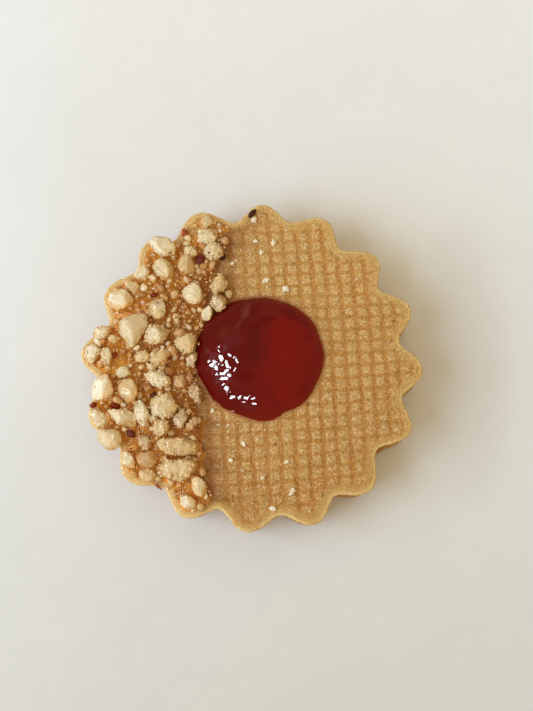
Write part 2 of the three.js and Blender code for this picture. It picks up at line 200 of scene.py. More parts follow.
# ------------------------------------------------------------------ mesh helpers
def build(name, verts, faces, colour=None, extra=None, material=None, shade=True):
    """A mesh object from arrays; verts in millimetres about the cookie's centre."""
    me = bpy.data.meshes.new(name)
    v = (np.asarray(verts, float) + SHIFT) / 1000.0
    faces = [np.asarray(f) for f in faces if len(f)]
    me.vertices.add(len(v))
    me.vertices.foreach_set("co", v.astype(np.float32).ravel())
    total = sum(f.size for f in faces)
    count = sum(len(f) for f in faces)
    me.loops.add(total)
    me.polygons.add(count)
    me.loops.foreach_set("vertex_index", np.concatenate([f.ravel() for f in faces]).astype(np.int32))
    starts, at = [], 0
    for f in faces:
        starts.append(at + np.arange(len(f)) * f.shape[1])
        at += f.size
    me.polygons.foreach_set("loop_start", np.concatenate(starts).astype(np.int32))
    me.update(calc_edges=True)
    me.validate()
    if shade:
        me.polygons.foreach_set("use_smooth", np.ones(len(me.polygons), bool))
    if colour is not None:
        at = me.color_attributes.new("tint", "FLOAT_COLOR", "POINT")
        c = np.ones((len(v), 4), np.float32)
        c[:, :3] = np.clip(colour, 0, 1)
        at.data.foreach_set("color", c.ravel())
    for key, val in (extra or {}).items():
        at = me.attributes.new(key, "FLOAT", "POINT")
        at.data.foreach_set("value", np.asarray(val, np.float32))
    ob = bpy.data.objects.new(name, me)
    bpy.context.scene.collection.objects.link(ob)
    if material:
        me.materials.append(material)
    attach(ob, "root")
    return ob


def ring_faces(rings, count):
    """Quads between successive rings of count points, and fans to the two end points."""
    k = np.arange(count)
    n = (k + 1) % count
    quads = []
    for i in range(rings - 1):
        a, b = i * count, (i + 1) * count
        quads.append(np.stack([a + k, a + n, b + n, b + k], -1))
    first, last = rings * count, rings * count + 1
    tris = [np.stack([np.full(count, first), n, k], -1),
            np.stack([np.full(count, last), (rings - 1) * count + k, (rings - 1) * count + n], -1)]
    return [np.concatenate(quads), np.concatenate(tris)]


_ICO = {}


def ico(level):
    if level not in _ICO:
        bm = bmesh.new()
        bmesh.ops.create_icosphere(bm, subdivisions=level, radius=1.0)
        bm.verts.ensure_lookup_table()
        v = np.array([x.co[:] for x in bm.verts])
        f = np.array([[x.index for x in p.verts] for p in bm.faces])
        bm.free()
        _ICO[level] = (v / np.linalg.norm(v, axis=1)[:, None], f)
    return _ICO[level]


# ------------------------------------------------------------------ materials
def nodes_of(name):
    m = bpy.data.materials.new(name)
    m.use_nodes = True
    nt = m.node_tree
    nt.nodes.clear()
    out = nt.nodes.new("ShaderNodeOutputMaterial")
    bsdf = nt.nodes.new("ShaderNodeBsdfPrincipled")
    nt.links.new(bsdf.outputs[0], out.inputs[0])
    return m, nt, bsdf


def noise_node(nt, scale, detail=3.0, rough=0.55, distort=0.0):
    co = nt.nodes.get("co") or nt.nodes.new("ShaderNodeTexCoord")
    co.name = "co"
    n = nt.nodes.new("ShaderNodeTexNoise")
    n.inputs["Scale"].default_value = scale
    n.inputs["Detail"].default_value = detail
    n.inputs["Roughness"].default_value = rough
    n.inputs["Distortion"].default_value = distort
    nt.links.new(co.outputs["Object"], n.inputs["Vector"])
    return n.outputs["Fac"]


def remap(nt, value, a, b, c, d, clamp=True):
    n = nt.nodes.new("ShaderNodeMapRange")
    n.clamp = clamp
    for k, x in zip(("From Min", "From Max", "To Min", "To Max"), (a, b, c, d)):
        n.inputs[k].default_value = x
    nt.links.new(value, n.inputs["Value"])
    return n.outputs["Result"]


def math_node(nt, op, a, b):
    n = nt.nodes.new("ShaderNodeMath")
    n.operation = op
    for i, x in enumerate((a, b)):
        if isinstance(x, (int, float)):
            n.inputs[i].default_value = x
        else:
            nt.links.new(x, n.inputs[i])
    return n.outputs[0]


def attribute(nt, name, vector=False):
    n = nt.nodes.new("ShaderNodeAttribute")
    n.attribute_name = name
    return n.outputs["Color" if vector else "Fac"]


def mix_colour(nt, fac, a, b, mode="MIX"):
    n = nt.nodes.new("ShaderNodeMix")
    n.data_type = "RGBA"
    n.blend_type = mode
    if isinstance(fac, (int, float)):
        n.inputs[0].default_value = fac
    else:
        nt.links.new(fac, n.inputs[0])
    for sock, x in ((n.inputs[6], a), (n.inputs[7], b)):
        if isinstance(x, (tuple, list, np.ndarray)):
            sock.default_value = (*[float(t) for t in x[:3]], 1.0)
        else:
            nt.links.new(x, sock)
    return n.outputs[2]


def bump(nt, bsdf, height, distance, strength=1.0):
    n = nt.nodes.new("ShaderNodeBump")
    n.inputs["Distance"].default_value = distance
    n.inputs["Strength"].default_value = strength
    nt.links.new(height, n.inputs["Height"])
    nt.links.new(n.outputs[0], bsdf.inputs["Normal"])


def biscuit_material(name, wet=True):
    """Baked shortbread: clumped sandy grains over the painted colour, brighter on the nubs of the imprint."""
    m, nt, bsdf = nodes_of(name)
    tint = attribute(nt, "tint", True)
    clump = noise_node(nt, 1500, 2.0, 0.55, 0.3)
    grain = noise_node(nt, 3000, 2.0, 0.55)
    fine = noise_node(nt, 5600, 1.0, 0.5)
    shade = math_node(nt, "MULTIPLY", remap(nt, grain, 0.30, 0.70, 0.67, 1.33),
                      remap(nt, clump, 0.30, 0.70, 0.90, 1.10))
    shade = math_node(nt, "MULTIPLY", shade, remap(nt, fine, 0.3, 0.7, 0.77, 1.23))
    shade = math_node(nt, "POWER", shade, remap(nt, attribute(nt, "plain"), 0.0, 1.0, 1.0, 0.45))
    comb = nt.nodes.new("ShaderNodeCombineColor")
    for i, e in enumerate((0.74, 1.0, 1.42)):
        nt.links.new(math_node(nt, "POWER", shade, e), comb.inputs[i])
    col = mix_colour(nt, 1.0, tint, comb.outputs[0], "MULTIPLY")
    specks = remap(nt, noise_node(nt, 1800, 1.0, 0.4), 0.69, 0.75, 0.0, 0.45)
    col = mix_colour(nt, specks, col, paint(160, 100, 46))
    pale = remap(nt, noise_node(nt, 2000, 1.5, 0.45, 0.5), 0.52, 0.68, 0.0, 1.0)
    if wet:
        pale = math_node(nt, "MULTIPLY", pale, remap(nt, attribute(nt, "nub"), 0.0, 1.0, 0.12, 0.62))
    else:
        pale = math_node(nt, "MULTIPLY", pale, 0.25)
    col = mix_colour(nt, pale, col, paint(236, 202, 152))
    nt.links.new(col, bsdf.inputs["Base Color"])
    if wet:
        nt.links.new(remap(nt, attribute(nt, "wet"), 0, 1, 0.66, 0.30), bsdf.inputs["Roughness"])
    else:
        bsdf.inputs["Roughness"].default_value = 0.68
    bsdf.inputs["Specular IOR Level"].default_value = 0.22
    h = math_node(nt, "ADD", math_node(nt, "MULTIPLY", grain, 0.7), math_node(nt, "MULTIPLY", fine, 0.3))
    bump(nt, bsdf, h, 0.00018, 0.7)
    return m


def jam_material(name):
    m, nt, bsdf = nodes_of(name)
    tint = attribute(nt, "tint", True)
    cloud = remap(nt, noise_node(nt, 420, 3.0, 0.55, 0.8), 0.3, 0.7, 0.92, 1.08)
    comb = nt.nodes.new("ShaderNodeCombineColor")
    for i in range(3):
        nt.links.new(cloud, comb.inputs[i])
    nt.links.new(mix_colour(nt, 1.0, tint, comb.outputs[0], "MULTIPLY"), bsdf.inputs["Base Color"])
    bsdf.inputs["Roughness"].default_value = 0.045
    bsdf.inputs["IOR"].default_value = 1.42
    bsdf.inputs["Specular IOR Level"].default_value = 0.22
    bump(nt, bsdf, noise_node(nt, 700, 2.0, 0.5), 0.00003, 0.35)
    return m


def filling_material(name):
    m, nt, bsdf = nodes_of(name)
    n = remap(nt, noise_node(nt, 700, 3.0, 0.6), 0.3, 0.7, 0, 1)
    nt.links.new(mix_colour(nt, n, srgb(84, 24, 14), srgb(120, 46, 24)), bsdf.inputs["Base Color"])
    bsdf.inputs["Roughness"].default_value = 0.24
    bump(nt, bsdf, noise_node(nt, 1500, 2.0, 0.5), 0.0001, 0.5)
    return m


def glaze_material(name):
    """Amber sugar glaze, with round grains of nut showing through it."""
    m, nt, bsdf = nodes_of(name)
    tint = attribute(nt, "tint", True)
    a = noise_node(nt, 1300, 2.0, 0.5, 0.3)
    b = noise_node(nt, 3300, 1.5, 0.5)
    shade = math_node(nt, "MULTIPLY", remap(nt, a, 0.3, 0.7, 0.87, 1.13), remap(nt, b, 0.3, 0.7, 0.95, 1.05))
    comb = nt.nodes.new("ShaderNodeCombineColor")
    for i, e in enumerate((0.8, 1.0, 1.3)):
        nt.links.new(math_node(nt, "POWER", shade, e), comb.inputs[i])
    col = mix_colour(nt, 1.0, tint, comb.outputs[0], "MULTIPLY")
    bits = remap(nt, noise_node(nt, 1250, 1.0, 0.4), 0.57, 0.64, 0, 0.36)
    col = mix_colour(nt, bits, col, paint(180, 124, 64))
    nt.links.new(col, bsdf.inputs["Base Color"])
    bsdf.inputs["Roughness"].default_value = 0.20
    bsdf.inputs["Specular IOR Level"].default_value = 0.2
    bump(nt, bsdf, math_node(nt, "ADD", math_node(nt, "MULTIPLY", a, 0.7), math_node(nt, "MULTIPLY", b, 0.15)),
         0.00022, 0.5)
    return m


def nut_material(name, rough, coat, grain=1.0, subsurface=0.12):
    """Chopped nut: mottled cream flesh, finely broken, filmed with glaze where coat is set."""
    m, nt, bsdf = nodes_of(name)
    tint = attribute(nt, "tint", True)
    a = noise_node(nt, 1200, 2.5, 0.55, 0.4)
    b = noise_node(nt, 4200, 2.0, 0.5)
    shade = math_node(nt, "MULTIPLY", remap(nt, a, 0.3, 0.7, 1 - 0.08 * grain, 1 + 0.08 * grain),
                      remap(nt, b, 0.3, 0.7, 1 - 0.05 * grain, 1 + 0.05 * grain))
    comb = nt.nodes.new("ShaderNodeCombineColor")
    for i, e in enumerate((0.7, 1.0, 1.5)):
        nt.links.new(math_node(nt, "POWER", shade, e), comb.inputs[i])
    nt.links.new(mix_colour(nt, 1.0, tint, comb.outputs[0], "MULTIPLY"), bsdf.inputs["Base Color"])
    bsdf.inputs["Roughness"].default_value = rough
    bsdf.inputs["Specular IOR Level"].default_value = 0.4
    if coat:
        bsdf.inputs["Coat Weight"].default_value = coat
        bsdf.inputs["Coat Roughness"].default_value = 0.12
    if subsurface:
        bsdf.inputs["Subsurface Weight"].default_value = subsurface
        bsdf.inputs["Subsurface Radius"].default_value = (1.0, 0.62, 0.34)
        bsdf.inputs["Subsurface Scale"].default_value = 0.0011
    bump(nt, bsdf, math_node(nt, "ADD", math_node(nt, "MULTIPLY", a, 0.5), math_node(nt, "MULTIPLY", b, 0.5)),
         0.00012, 0.5)
    return m


def skin_material(name):
    m, nt, bsdf = nodes_of(name)
    tint = attribute(nt, "tint", True)
    a = noise_node(nt, 2600, 3.0, 0.6, 0.6)
    comb = nt.nodes.new("ShaderNodeCombineColor")
    for i in range(3):
        nt.links.new(remap(nt, a, 0.3, 0.7, 0.55, 1.5), comb.inputs[i])
    nt.links.new(mix_colour(nt, 1.0, tint, comb.outputs[0], "MULTIPLY"), bsdf.inputs["Base Color"])
    bsdf.inputs["Roughness"].default_value = 0.38
    bsdf.inputs["Specular IOR Level"].default_value = 0.22
    bump(nt, bsdf, a, 0.00018, 0.6)
    return m


# ------------------------------------------------------------------ the waffle imprint
def waffle(x, y):
    """Phases of the two families of grooves, in cycles: a nub's centre at each whole number."""
    X, Y = x / 30, y / 30
    v = (0.38409 * x + 0.02013 * y - 0.163 - 0.474 * X - 0.205 * Y - 0.146 * X * X + 0.1 * X * Y
         + 0.027 * Y * Y + 0.453 * X ** 3 + 0.061 * X * X * Y + 0.214 * X * Y * Y + 0.192 * Y ** 3)
    h = (-0.03164 * x + 0.42075 * y + 0.1 + 0.23 * X - 0.357 * Y - 0.012 * X * X + 0.032 * X * Y
         + 0.263 * Y * Y - 0.082 * X ** 3 + 0.433 * X * X * Y - 0.292 * X * Y * Y + 0.463 * Y ** 3)
    w = 0.045
    v = v + w * noise(flat(x, y, 0.35), 5)
    h = h + w * noise(flat(x, y, 0.35), 6)
    return v, h


PITS = [(4.2, -15.6, 0.42), (10.5, -8.0, 0.5), (15.6, 22.5, 0.38), (13.0, -25.5, 0.4), (28.3, -1.6, 0.3),
        (8.0, 20.3, 0.32), (-1.6, -21.6, 0.35), (2.0, -31.0, 0.35), (19.0, 9.6, 0.3), (24.6, -16.4, 0.3),
        (1.3, -30.2, 0.3), (27.0, 4.6, 0.3), (-2.2, -12.3, 0.3)]


def imprint(x, y, edge):
    """Depth of the imprint below the plain top, and the groove, nub and blur amounts that colour it."""
    v, h = waffle(x, y)
    nv, nh = np.round(v), np.round(h)
    dv, dh = np.abs(v - nv), np.abs(h - nh)
    size = 0.03 * (cellhash(nv, nh, 3) - 0.5) * 2
    jag = 0.05 * noise(flat(x, y, 1.3), 12)
    gv = smooth(0.24 + size, 0.41 + size, dv + jag)
    gh = smooth(0.27 + size, 0.44 + size, dh - jag)
    dj = np.hypot(x - JAM_CENTRE[0], y - JAM_CENTRE[1]) - jam_outline(np.arctan2(y - JAM_CENTRE[1], x - JAM_CENTRE[0]))
    wide = 1 - smooth(-22, -16, y)
    rim = smooth(0.8 + 0.7 * wide, 1.6 + 0.9 * wide, edge + 0.3 * noise(flat(x, y, 0.4), 8))
    jam = smooth(-0.2, 1.3, dj)
    left = smooth(0.0, 9.0, x - glaze_border(y))
    low = 1 - 0.30 * np.exp(-(((x - 1) / 7) ** 2 + ((y + 29) / 5) ** 2)) - 0.25 * np.exp(-(((x + 3) / 6) ** 2 + ((y - 24) / 9) ** 2))
    wear = 0.84 + 0.28 * noise(flat(x, y, 0.16), 9) + 0.22 * noise(flat(x, y, 0.55), 10)
    amp = rim * jam * (0.62 + 0.38 * left) * low * np.clip(wear, 0.3, 1.2)
    nub = (1 - gv) * (1 - gh)
    depth = amp * (0.15 * gv + 0.14 * gh * (1 - 0.5 * gv))
    depth = depth + amp * 0.05 * (cellhash(nv, nh, 11) - 0.3)
    # a nub is a low cushion, not a flat block
    depth = depth + amp * 0.06 * ((dv / 0.5) ** 2 + (dh / 0.5) ** 2) * nub
    return depth, amp, gv, gh, nub, nv, nh, dj


def biscuit_top(x, y, edge):
    """Height of the upper biscuit's top at x, y, edge being the distance in from the outline."""
    depth, amp, gv, gh, nub, nv, nh, dj = imprint(x, y, edge)
    z = TOP - 0.02 - depth
    z = z - 0.05 * np.exp(-np.maximum(edge - EDGE, 0) / 0.8)
    z = z + 0.05 * noise(flat(x, y, 0.12), 21) + 0.030 * noise(flat(x, y, 0.9), 24) + 0.050 * noise(flat(x, y, 1.9), 22)
    z = z + 0.020 * noise(flat(x, y, 3.6), 23)
    for px, py, pr in PITS:
        z = z - 0.28 * np.exp(-(((x - px) ** 2 + (y - py) ** 2) / (pr * 0.75) ** 2))
    return z


def edge_distance(x, y, line):
    """Distance in from the outline for many points."""
    out = np.empty(len(x))
    for i in range(0, len(x), 4000):
        d = (x[i:i + 4000, None] - line[None, :, 0]) ** 2 + (y[i:i + 4000, None] - line[None, :, 1]) ** 2
        out[i:i + 4000] = np.sqrt(d.min(1))
    inside = np.hypot(x, y) < outline_radius(np.degrees(np.arctan2(y, x)) % 360)
    return np.where(inside, out, -out)


OUT, OUT_N = outline(800)
GOLD_RIM = paint(216, 180, 114)


def rim_colour(x, y, base):
    """Pale yellow rim, flecked orange brown; the lower lobes are browned further in by top_colour."""
    spot = smooth(0.15, 0.6, noise(flat(x, y, 0.85), 31) + 0.4 * noise(flat(x, y, 2.1), 35))
    return mix(base, paint(196, 142, 68), 0.55 * spot)


def top_colour(x, y, edge):
    depth, amp, gv, gh, nub, nv, nh, dj = imprint(x, y, edge)
    body = paint(190, 141, 82)
    nubc = paint(200, 155, 94)
    # the grooves are browner than the nubs; the vertical ones are painted a little darker than the level ones, painted
    # shade of the light from the left
    groove_v = paint(180, 121, 54)
    groove_h = paint(183, 127, 59)
    c = np.tile(body, (len(x), 1))
    a = np.clip(amp, 0, 1)
    c = mix(c, nubc, a * nub * (0.75 + 0.5 * (cellhash(nv, nh, 7) - 0.5)))
    c = mix(c, groove_h, a * gh * 0.85)
    c = mix(c, groove_v, a * gv * 0.85)
    # a slow drift, and browned patches a little in from the rim
    drift = noise(flat(x, y, 0.11), 32) + 0.5 * noise(flat(x, y, 0.5), 36)
    c = c * (1 + 0.045 * drift)[:, None]
    low = 1 - smooth(-24, -15, y)
    brown = smooth(0.1, 0.65, noise(flat(x, y, 0.5), 33) + 0.5 * noise(flat(x, y, 1.4), 37))
    brown = brown * smooth(1.0, 1.9, edge) * (1 - smooth(3.2, 6.5 + 2 * low, edge)) * (0.4 + 0.45 * low)
    c = mix(c, paint(188, 126, 58), brown)
    # plainer and yellower towards the rim
    wob = 0.35 * noise(flat(x, y, 0.5), 31) + 0.2 * noise(flat(x, y, 1.5), 38)
    low = 1 - smooth(-27, -19, y)
    c = mix(c, paint(196, 148, 82), 0.7 * (1 - smooth(1.0, 2.9, edge + wob)))
    rim = 1 - smooth(0.2, 1.5 + 0.5 * low, edge + wob)
    c = mix(c, rim_colour(x, y, mix(np.tile(paint(201, 160, 96), (len(x), 1)), paint(213, 176, 114), low)), rim * 0.85)
    # damp and darker by the glaze and by the jam
    g = x - glaze_border(y)
    g = g + 0.8 * noise(flat(x, y, 0.35), 34) + 0.3 * noise(flat(x, y, 1.1), 39)
    damp = 1 - smooth(0.0, 5.0, g)
    away = smooth(0.6, 2.0, edge)
    c = c * mix(np.ones((len(x), 3)), np.array([0.80, 0.73, 0.69]), 0.6 * (1 - smooth(2.0, 9.0, g)) * away)
    c = c * mix(np.ones((len(x), 3)), np.array([0.62, 0.48, 0.35]), 0.9 * damp * away)
    # painted light falloff: darker towards the bottom and lighter towards the top, the blue most, so the lower part
    # also reads browner
    c = c * (1 + y[:, None] * np.array([0.0029, 0.0045, 0.0065])) * np.array([0.99, 1.01, 0.99])
    jam = 1 - smooth(-0.1, 0.9, dj)
    c = mix(c, paint(160, 104, 58), 0.55 * jam)
    c = mix(c, paint(146, 76, 40), 0.65 * (1 - smooth(0.0, 0.55, dj + 0.15 * noise(flat(x, y, 1.6), 40))))
    smear = np.exp(-((dj - 0.1) / 0.55) ** 2) * np.exp(-((x - 0.5) / 6.5) ** 2) * (y > 8)
    c = mix(c, paint(126, 62, 38), 0.7 * smear)
    for px, py, pr in PITS:
        c = mix(c, paint(118, 66, 32), 0.8 * np.exp(-(((x - px) ** 2 + (y - py) ** 2) / (pr * 0.7) ** 2)))
    wet = np.clip(damp * 0.8 + 0.5 * jam, 0, 1)
    plain = (1 - smooth(0.8, 1.9 + 0.6 * low, edge + wob)) * (0.35 + 0.65 * low)
    return c, wet, np.clip(a * nub * 1.3, 0, 1) * (1 - 0.6 * damp), plain


def upper_biscuit():
    n = len(OUT)
    rings, edges, kinds = [], [], []

    def add(inset, z, kind):
        p = OUT - OUT_N * inset
        rings.append(np.column_stack([p, np.full(n, z)]))
        kinds.append(kind)

    for t in np.linspace(0.06, 1.0, 7):           # underside, middle to edge
        p = (OUT - OUT_N * (UNDERCUT + FOOT + 0.3)) * t
        rings.append(np.column_stack([p, np.full(n, UPPER_FOOT)]))
        kinds.append("under")
    for a in np.linspace(0, math.pi / 2, 4):
        add(UNDERCUT + FOOT * (1 - math.sin(a)), UPPER_FOOT + FOOT * (1 - math.cos(a)), "wall")
    for z in np.linspace(UPPER_FOOT + FOOT, TOP - EDGE, 6)[1:-1]:
        add(UNDERCUT * (1 - (z - UPPER_FOOT - FOOT) / (TOP - EDGE - UPPER_FOOT - FOOT)) ** 1.3, z, "wall")
    for a in np.linspace(0, math.pi / 2, 9):
        add(EDGE * (1 - math.cos(a)), TOP - EDGE + EDGE * math.sin(a) - 0.03, "shoulder")
    first_top = len(rings)
    start = OUT - OUT_N * EDGE
    ring_end = JAM_CENTRE + 9.5 * np.stack([np.cos(np.arange(n) * 2 * np.pi / n), np.sin(np.arange(n) * 2 * np.pi / n)], -1)
    for t in np.linspace(0, 1, 91)[1:]:
        p = start * (1 - t) + ring_end * t
        rings.append(np.column_stack([p, np.full(n, TOP)]))
        kinds.append("top")
    for t in (0.7, 0.35):
        p = JAM_CENTRE + (ring_end - JAM_CENTRE) * t
        rings.append(np.column_stack([p, np.full(n, TOP)]))
        kinds.append("top")
    v = np.concatenate(rings)
    kind = np.repeat(kinds, n)
    top = kind == "top"
    edge = np.zeros(len(v))
    edge[top] = edge_distance(v[top, 0], v[top, 1], OUT)
    v[top, 2] = biscuit_top(v[top, 0], v[top, 1], edge[top])
    # sandy unevenness of the wall and shoulder, along the outline's normal
    side = (kind == "wall") | (kind == "shoulder")
    norm = np.tile(OUT_N, (len(rings), 1))
    w = 0.10 * noise(v * 0.75, 41) + 0.11 * noise(v * 1.9, 42) + 0.09 * noise(v * 3.4, 43)
    v[side, :2] += norm[side] * w[side][:, None]
    v[kind == "shoulder", 2] += 0.06 * noise(v[kind == "shoulder"] * 2.2, 22)
    v[kind == "under", 2] += 0.03 * noise(v[kind == "under"] * 1.1, 44)
    v = np.concatenate([v, [[0, 0, UPPER_FOOT], [JAM_CENTRE[0], JAM_CENTRE[1], TOP - 0.05]]])
    x, y = v[:, 0], v[:, 1]
    edge = np.concatenate([edge, [30, 30]])
    rise = (v[:, 2] - UPPER_FOOT) / (TOP - UPPER_FOOT)
    tc, wet, nub, plain = top_colour(x, y, np.maximum(edge, 0))
    wall = mix(np.tile(paint(176, 126, 66), (len(v), 1)), paint(205, 166, 104), smooth(0.0, 0.55, rise + 0.12 * noise(v * 0.6, 45)))
    wall = mix(wall, rim_colour(x, y, np.tile(GOLD_RIM, (len(v), 1))), smooth(0.6, 0.95, rise))
    under = np.tile(paint(178, 126, 70), (len(v), 1))
    k = np.concatenate([kind, ["under", "top"]])
    c = np.where((k == "top")[:, None], tc, np.where((k == "under")[:, None], under, wall))
    # the lobes under the glaze are golden and shine; near their edge the colour is painted paler, partly the glazed
    # crust's own gold and partly a painted highlight where these left lobes face the key light
    ang = np.degrees(np.arctan2(y, x)) % 360
    shiny = smooth(100, 106, ang) * (1 - smooth(246, 254, ang)) * (k != "under") * smooth(0.45, 0.8, rise + 0.15 * noise(v * 0.5, 46))
    glaze_gold_and_painted_highlight = shiny * (1 - smooth(2.0, 3.0, edge))
    c = mix(c, paint(224, 184, 118), 0.75 * glaze_gold_and_painted_highlight)
    wet = np.clip(np.where(k == "top", wet, 0) + 0.9 * glaze_gold_and_painted_highlight, 0, 1)
    faces = ring_faces(len(rings), n)
    # ring_faces runs bottom to top, so its quads face outwards
    ob = build("upper_biscuit_crust", v, faces, c, {"wet": wet, "nub": np.where(k == "top", nub, 0), "plain": plain},
               biscuit_material("shortbread"))
    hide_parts("upper_biscuit")
    return ob


def lower_biscuit():
    n = 560
    line, norm = outline(n, LOWER_TURN, LOWER_SHIFT)
    deg = np.arange(n) * 360.0 / n
    peep = 0.70 * np.exp(-((deg - 326.2) / 2.8) ** 2) + 0.17 * np.exp(-((deg - 303.0) / 2.5) ** 2)
    line = line - norm * (LOWER_SHRINK - peep)[:, None]
    top = LOWER_TOP
    rings, kinds = [], []

    def add(inset, z, kind):
        p = line - norm * inset
        rings.append(np.column_stack([p, np.full(n, z)]))
        kinds.append(kind)

    for t in np.linspace(0.03, 1.0, 44):
        p = (line - norm * 0.85) * t
        rings.append(np.column_stack([p, np.full(n, 0.0)]))
        kinds.append("under")
    for a in np.linspace(0, math.pi / 2, 5)[1:]:
        add(0.25 + 0.55 * (1 - math.sin(a)), 0.55 * (1 - math.cos(a)), "wall")
    for z in np.linspace(0.55, top - 0.9, 9)[1:-1]:
        add(0.25 * (1 - (z - 0.55) / (top - 1.45)), z, "wall")
    for a in np.linspace(0, math.pi / 2, 7):
        add(0.9 * (1 - math.cos(a)), top - 0.9 + 0.9 * math.sin(a), "wall")
    start = line - norm * 0.9
    for t in np.linspace(1, 0.05, 9)[1:]:
        rings.append(np.column_stack([start * t, np.full(n, top)]))
        kinds.append("top")
    v = np.concatenate(rings)
    kind = np.repeat(kinds, n)
    nn = np.tile(norm, (len(rings), 1))
    side = kind == "wall"
    w = 0.08 * noise(v * 0.7, 51) + 0.10 * noise(v * 2.0, 52) + 0.05 * noise(v * 4.1, 53)
    v[side, :2] += nn[side] * w[side][:, None]
    under = kind == "under"
    x, y = v[:, 0], v[:, 1]
    # the underside: flat, with pores where the dough's air met the tray
    pores = smooth(0.42, 0.75, noise(flat(x, y, 0.95), 54)) * 0.22 + smooth(0.35, 0.7, noise(flat(x, y, 2.2), 55)) * 0.10
    v[under, 2] += np.maximum(pores[under] + 0.02 * noise(flat(x, y, 3.0), 56)[under], 0)
    v = np.concatenate([v, [[*LOWER_SHIFT, 0.0], [*LOWER_SHIFT, top]]])
    pores = np.concatenate([pores, [0, 0]])
    k = np.concatenate([kind, ["under", "top"]])
    x, y = v[:, 0], v[:, 1]
    rise = v[:, 2] / top
    r = np.hypot(x - LOWER_SHIFT[0], y - LOWER_SHIFT[1])
    # the wall is painted dark brown, darkest at its foot: partly the biscuit's own browning, partly painted shade, as
    # the little of it that shows lies in the upper biscuit's shadow
    wall = mix(np.tile(paint(144, 95, 51), (len(v), 1)), paint(178, 130, 76), smooth(0.02, 0.6, rise + 0.15 * noise(v * 0.6, 57)))
    base = mix(np.tile(paint(190, 142, 84), (len(v), 1)), paint(170, 116, 60),
               smooth(22, 31, r + 2.0 * noise(flat(x, y, 0.25), 58)))
    base = base * (1 + 0.10 * noise(flat(x, y, 0.22), 59) + 0.06 * noise(flat(x, y, 1.1), 60))[:, None]
    base = mix(base, paint(140, 88, 44), 0.7 * np.clip(pores / 0.2, 0, 1))
    c = np.where((k == "under")[:, None], base, wall)
    ob = build("lower_biscuit_crust", v, ring_faces(len(rings), n), c, None,
               biscuit_material("shortbread_browned_and_shaded", False))
    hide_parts("lower_biscuit")
    return ob


def filling():
    n = 480
    line, norm = outline(n, 0.5 * LOWER_TURN, (0.5 * LOWER_SHIFT[0], 0.5 * LOWER_SHIFT[1]))
    ang = np.arange(n) * 2 * np.pi / n
    wob = np.stack([np.cos(ang) * 9, np.sin(ang) * 9, np.zeros(n)], -1)
    rings = []
    for i, (dz, out) in enumerate(((0.0, -1.2), (0.0, -0.5), (0.05, -0.12), (0.2, 0.06), (0.45, 0.16), (0.7, 0.1), (0.88, -0.1), (0.93, -0.5), (0.93, -1.2))):
        inset = FILLING_INSET + 0.28 * noise(wob * 0.35, 61) + 0.16 * noise(wob, 62) - out
        p = line - norm * inset[:, None]
        rings.append(np.column_stack([p, np.full(n, 4.04 + dz)]))
    rings.insert(0, np.column_stack([line * 0.5, np.full(n, 4.04)]))
    rings.append(np.column_stack([line * 0.5, np.full(n, 4.97)]))
    v = np.concatenate(rings + [np.array([[0.12, -0.05, 4.04], [0.12, -0.05, 4.97]])])
    ob = build("jam_filling", v, ring_faces(len(rings), n), None, None, filling_material("jam_layer"))
    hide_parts("filling")
    return ob


# ------------------------------------------------------------------ the jam drop
KEY_TURN, KEY_RISE = math.radians(196), math.radians(31.5)
KEY_DIR = np.array([math.cos(KEY_RISE) * math.cos(KEY_TURN), math.cos(KEY_RISE) * math.sin(KEY_TURN), math.sin(KEY_RISE)])
WINDOW_DIR = np.array([-0.647, 0.030, 0.761])
WINDOW_DIR = WINDOW_DIR / np.linalg.norm(WINDOW_DIR)
WINDOW_AT = np.array([JAM_CENTRE[0] - 6, JAM_CENTRE[1] - 1.5, 11.0]) + 600 * WINDOW_DIR

# small flats in the wrinkled skin of the jam, each a short stroke: where the camera sees its two ends, half width
FLATS = [(-6.76, 3.27, -7.08, 2.81, 0.11), (-7.01, 2.61, -6.87, 2.26, 0.09), (-6.49, 1.15, -6.27, 0.69, 0.43),
         (-5.03, 1.69, -4.21, 1.20, 0.17), (-3.91, 1.03, -3.57, 0.86, 0.22), (-3.52, 0.63, -3.23, 0.16, 0.17),
         (-8.84, 0.27, -8.61, -0.33, 0.20), (-8.44, -0.48, -7.54, -0.38, 0.29), (-7.39, -0.57, -7.18, -1.37, 0.18),
         (-6.83, -0.30, -6.33, -0.62, 0.18), (-6.28, -0.52, -5.43, 0.23, 0.15), (-5.44, 0.18, -5.15, -0.77, 0.26),
         (-5.17, -0.77, -4.68, -1.01, 0.20), (-5.60, -1.63, -5.11, -1.46, 0.18), (-7.19, -2.21, -6.41, -2.13, 0.24),
         (-6.41, -2.13, -5.37, -2.38, 0.25), (-5.04, -2.42, -4.65, -2.54, 0.20), (-6.17, -3.01, -5.30, -3.11, 0.23),
         (-5.84, -4.25, -5.43, -4.91, 0.24), (-5.43, -4.91, -5.02, -5.75, 0.28), (-5.06, -5.75, -4.94, -6.28, 0.17),
         (-4.61, -5.84, -4.36, -6.33, 0.15), (-4.36, -6.53, -3.35, -6.87, 0.20), (-2.97, -6.92, -2.49, -6.62, 0.24),
         (-1.81, -6.87, -1.43, -7.11, 0.24), (-1.43, -7.16, -0.80, -6.62, 0.17), (-0.46, -7.06, -0.01, -6.99, 0.18),
         (-4.70, -6.94, -4.28, -7.13, 0.08), (-2.29, -7.62, -1.62, -7.72, 0.08), (-0.32, -7.91, 0.36, -8.12, 0.15),
         (-4.00, -1.65, -3.54, -1.03, 0.08), (-4.30, -9.47, -3.77, -9.44, 0.08)]
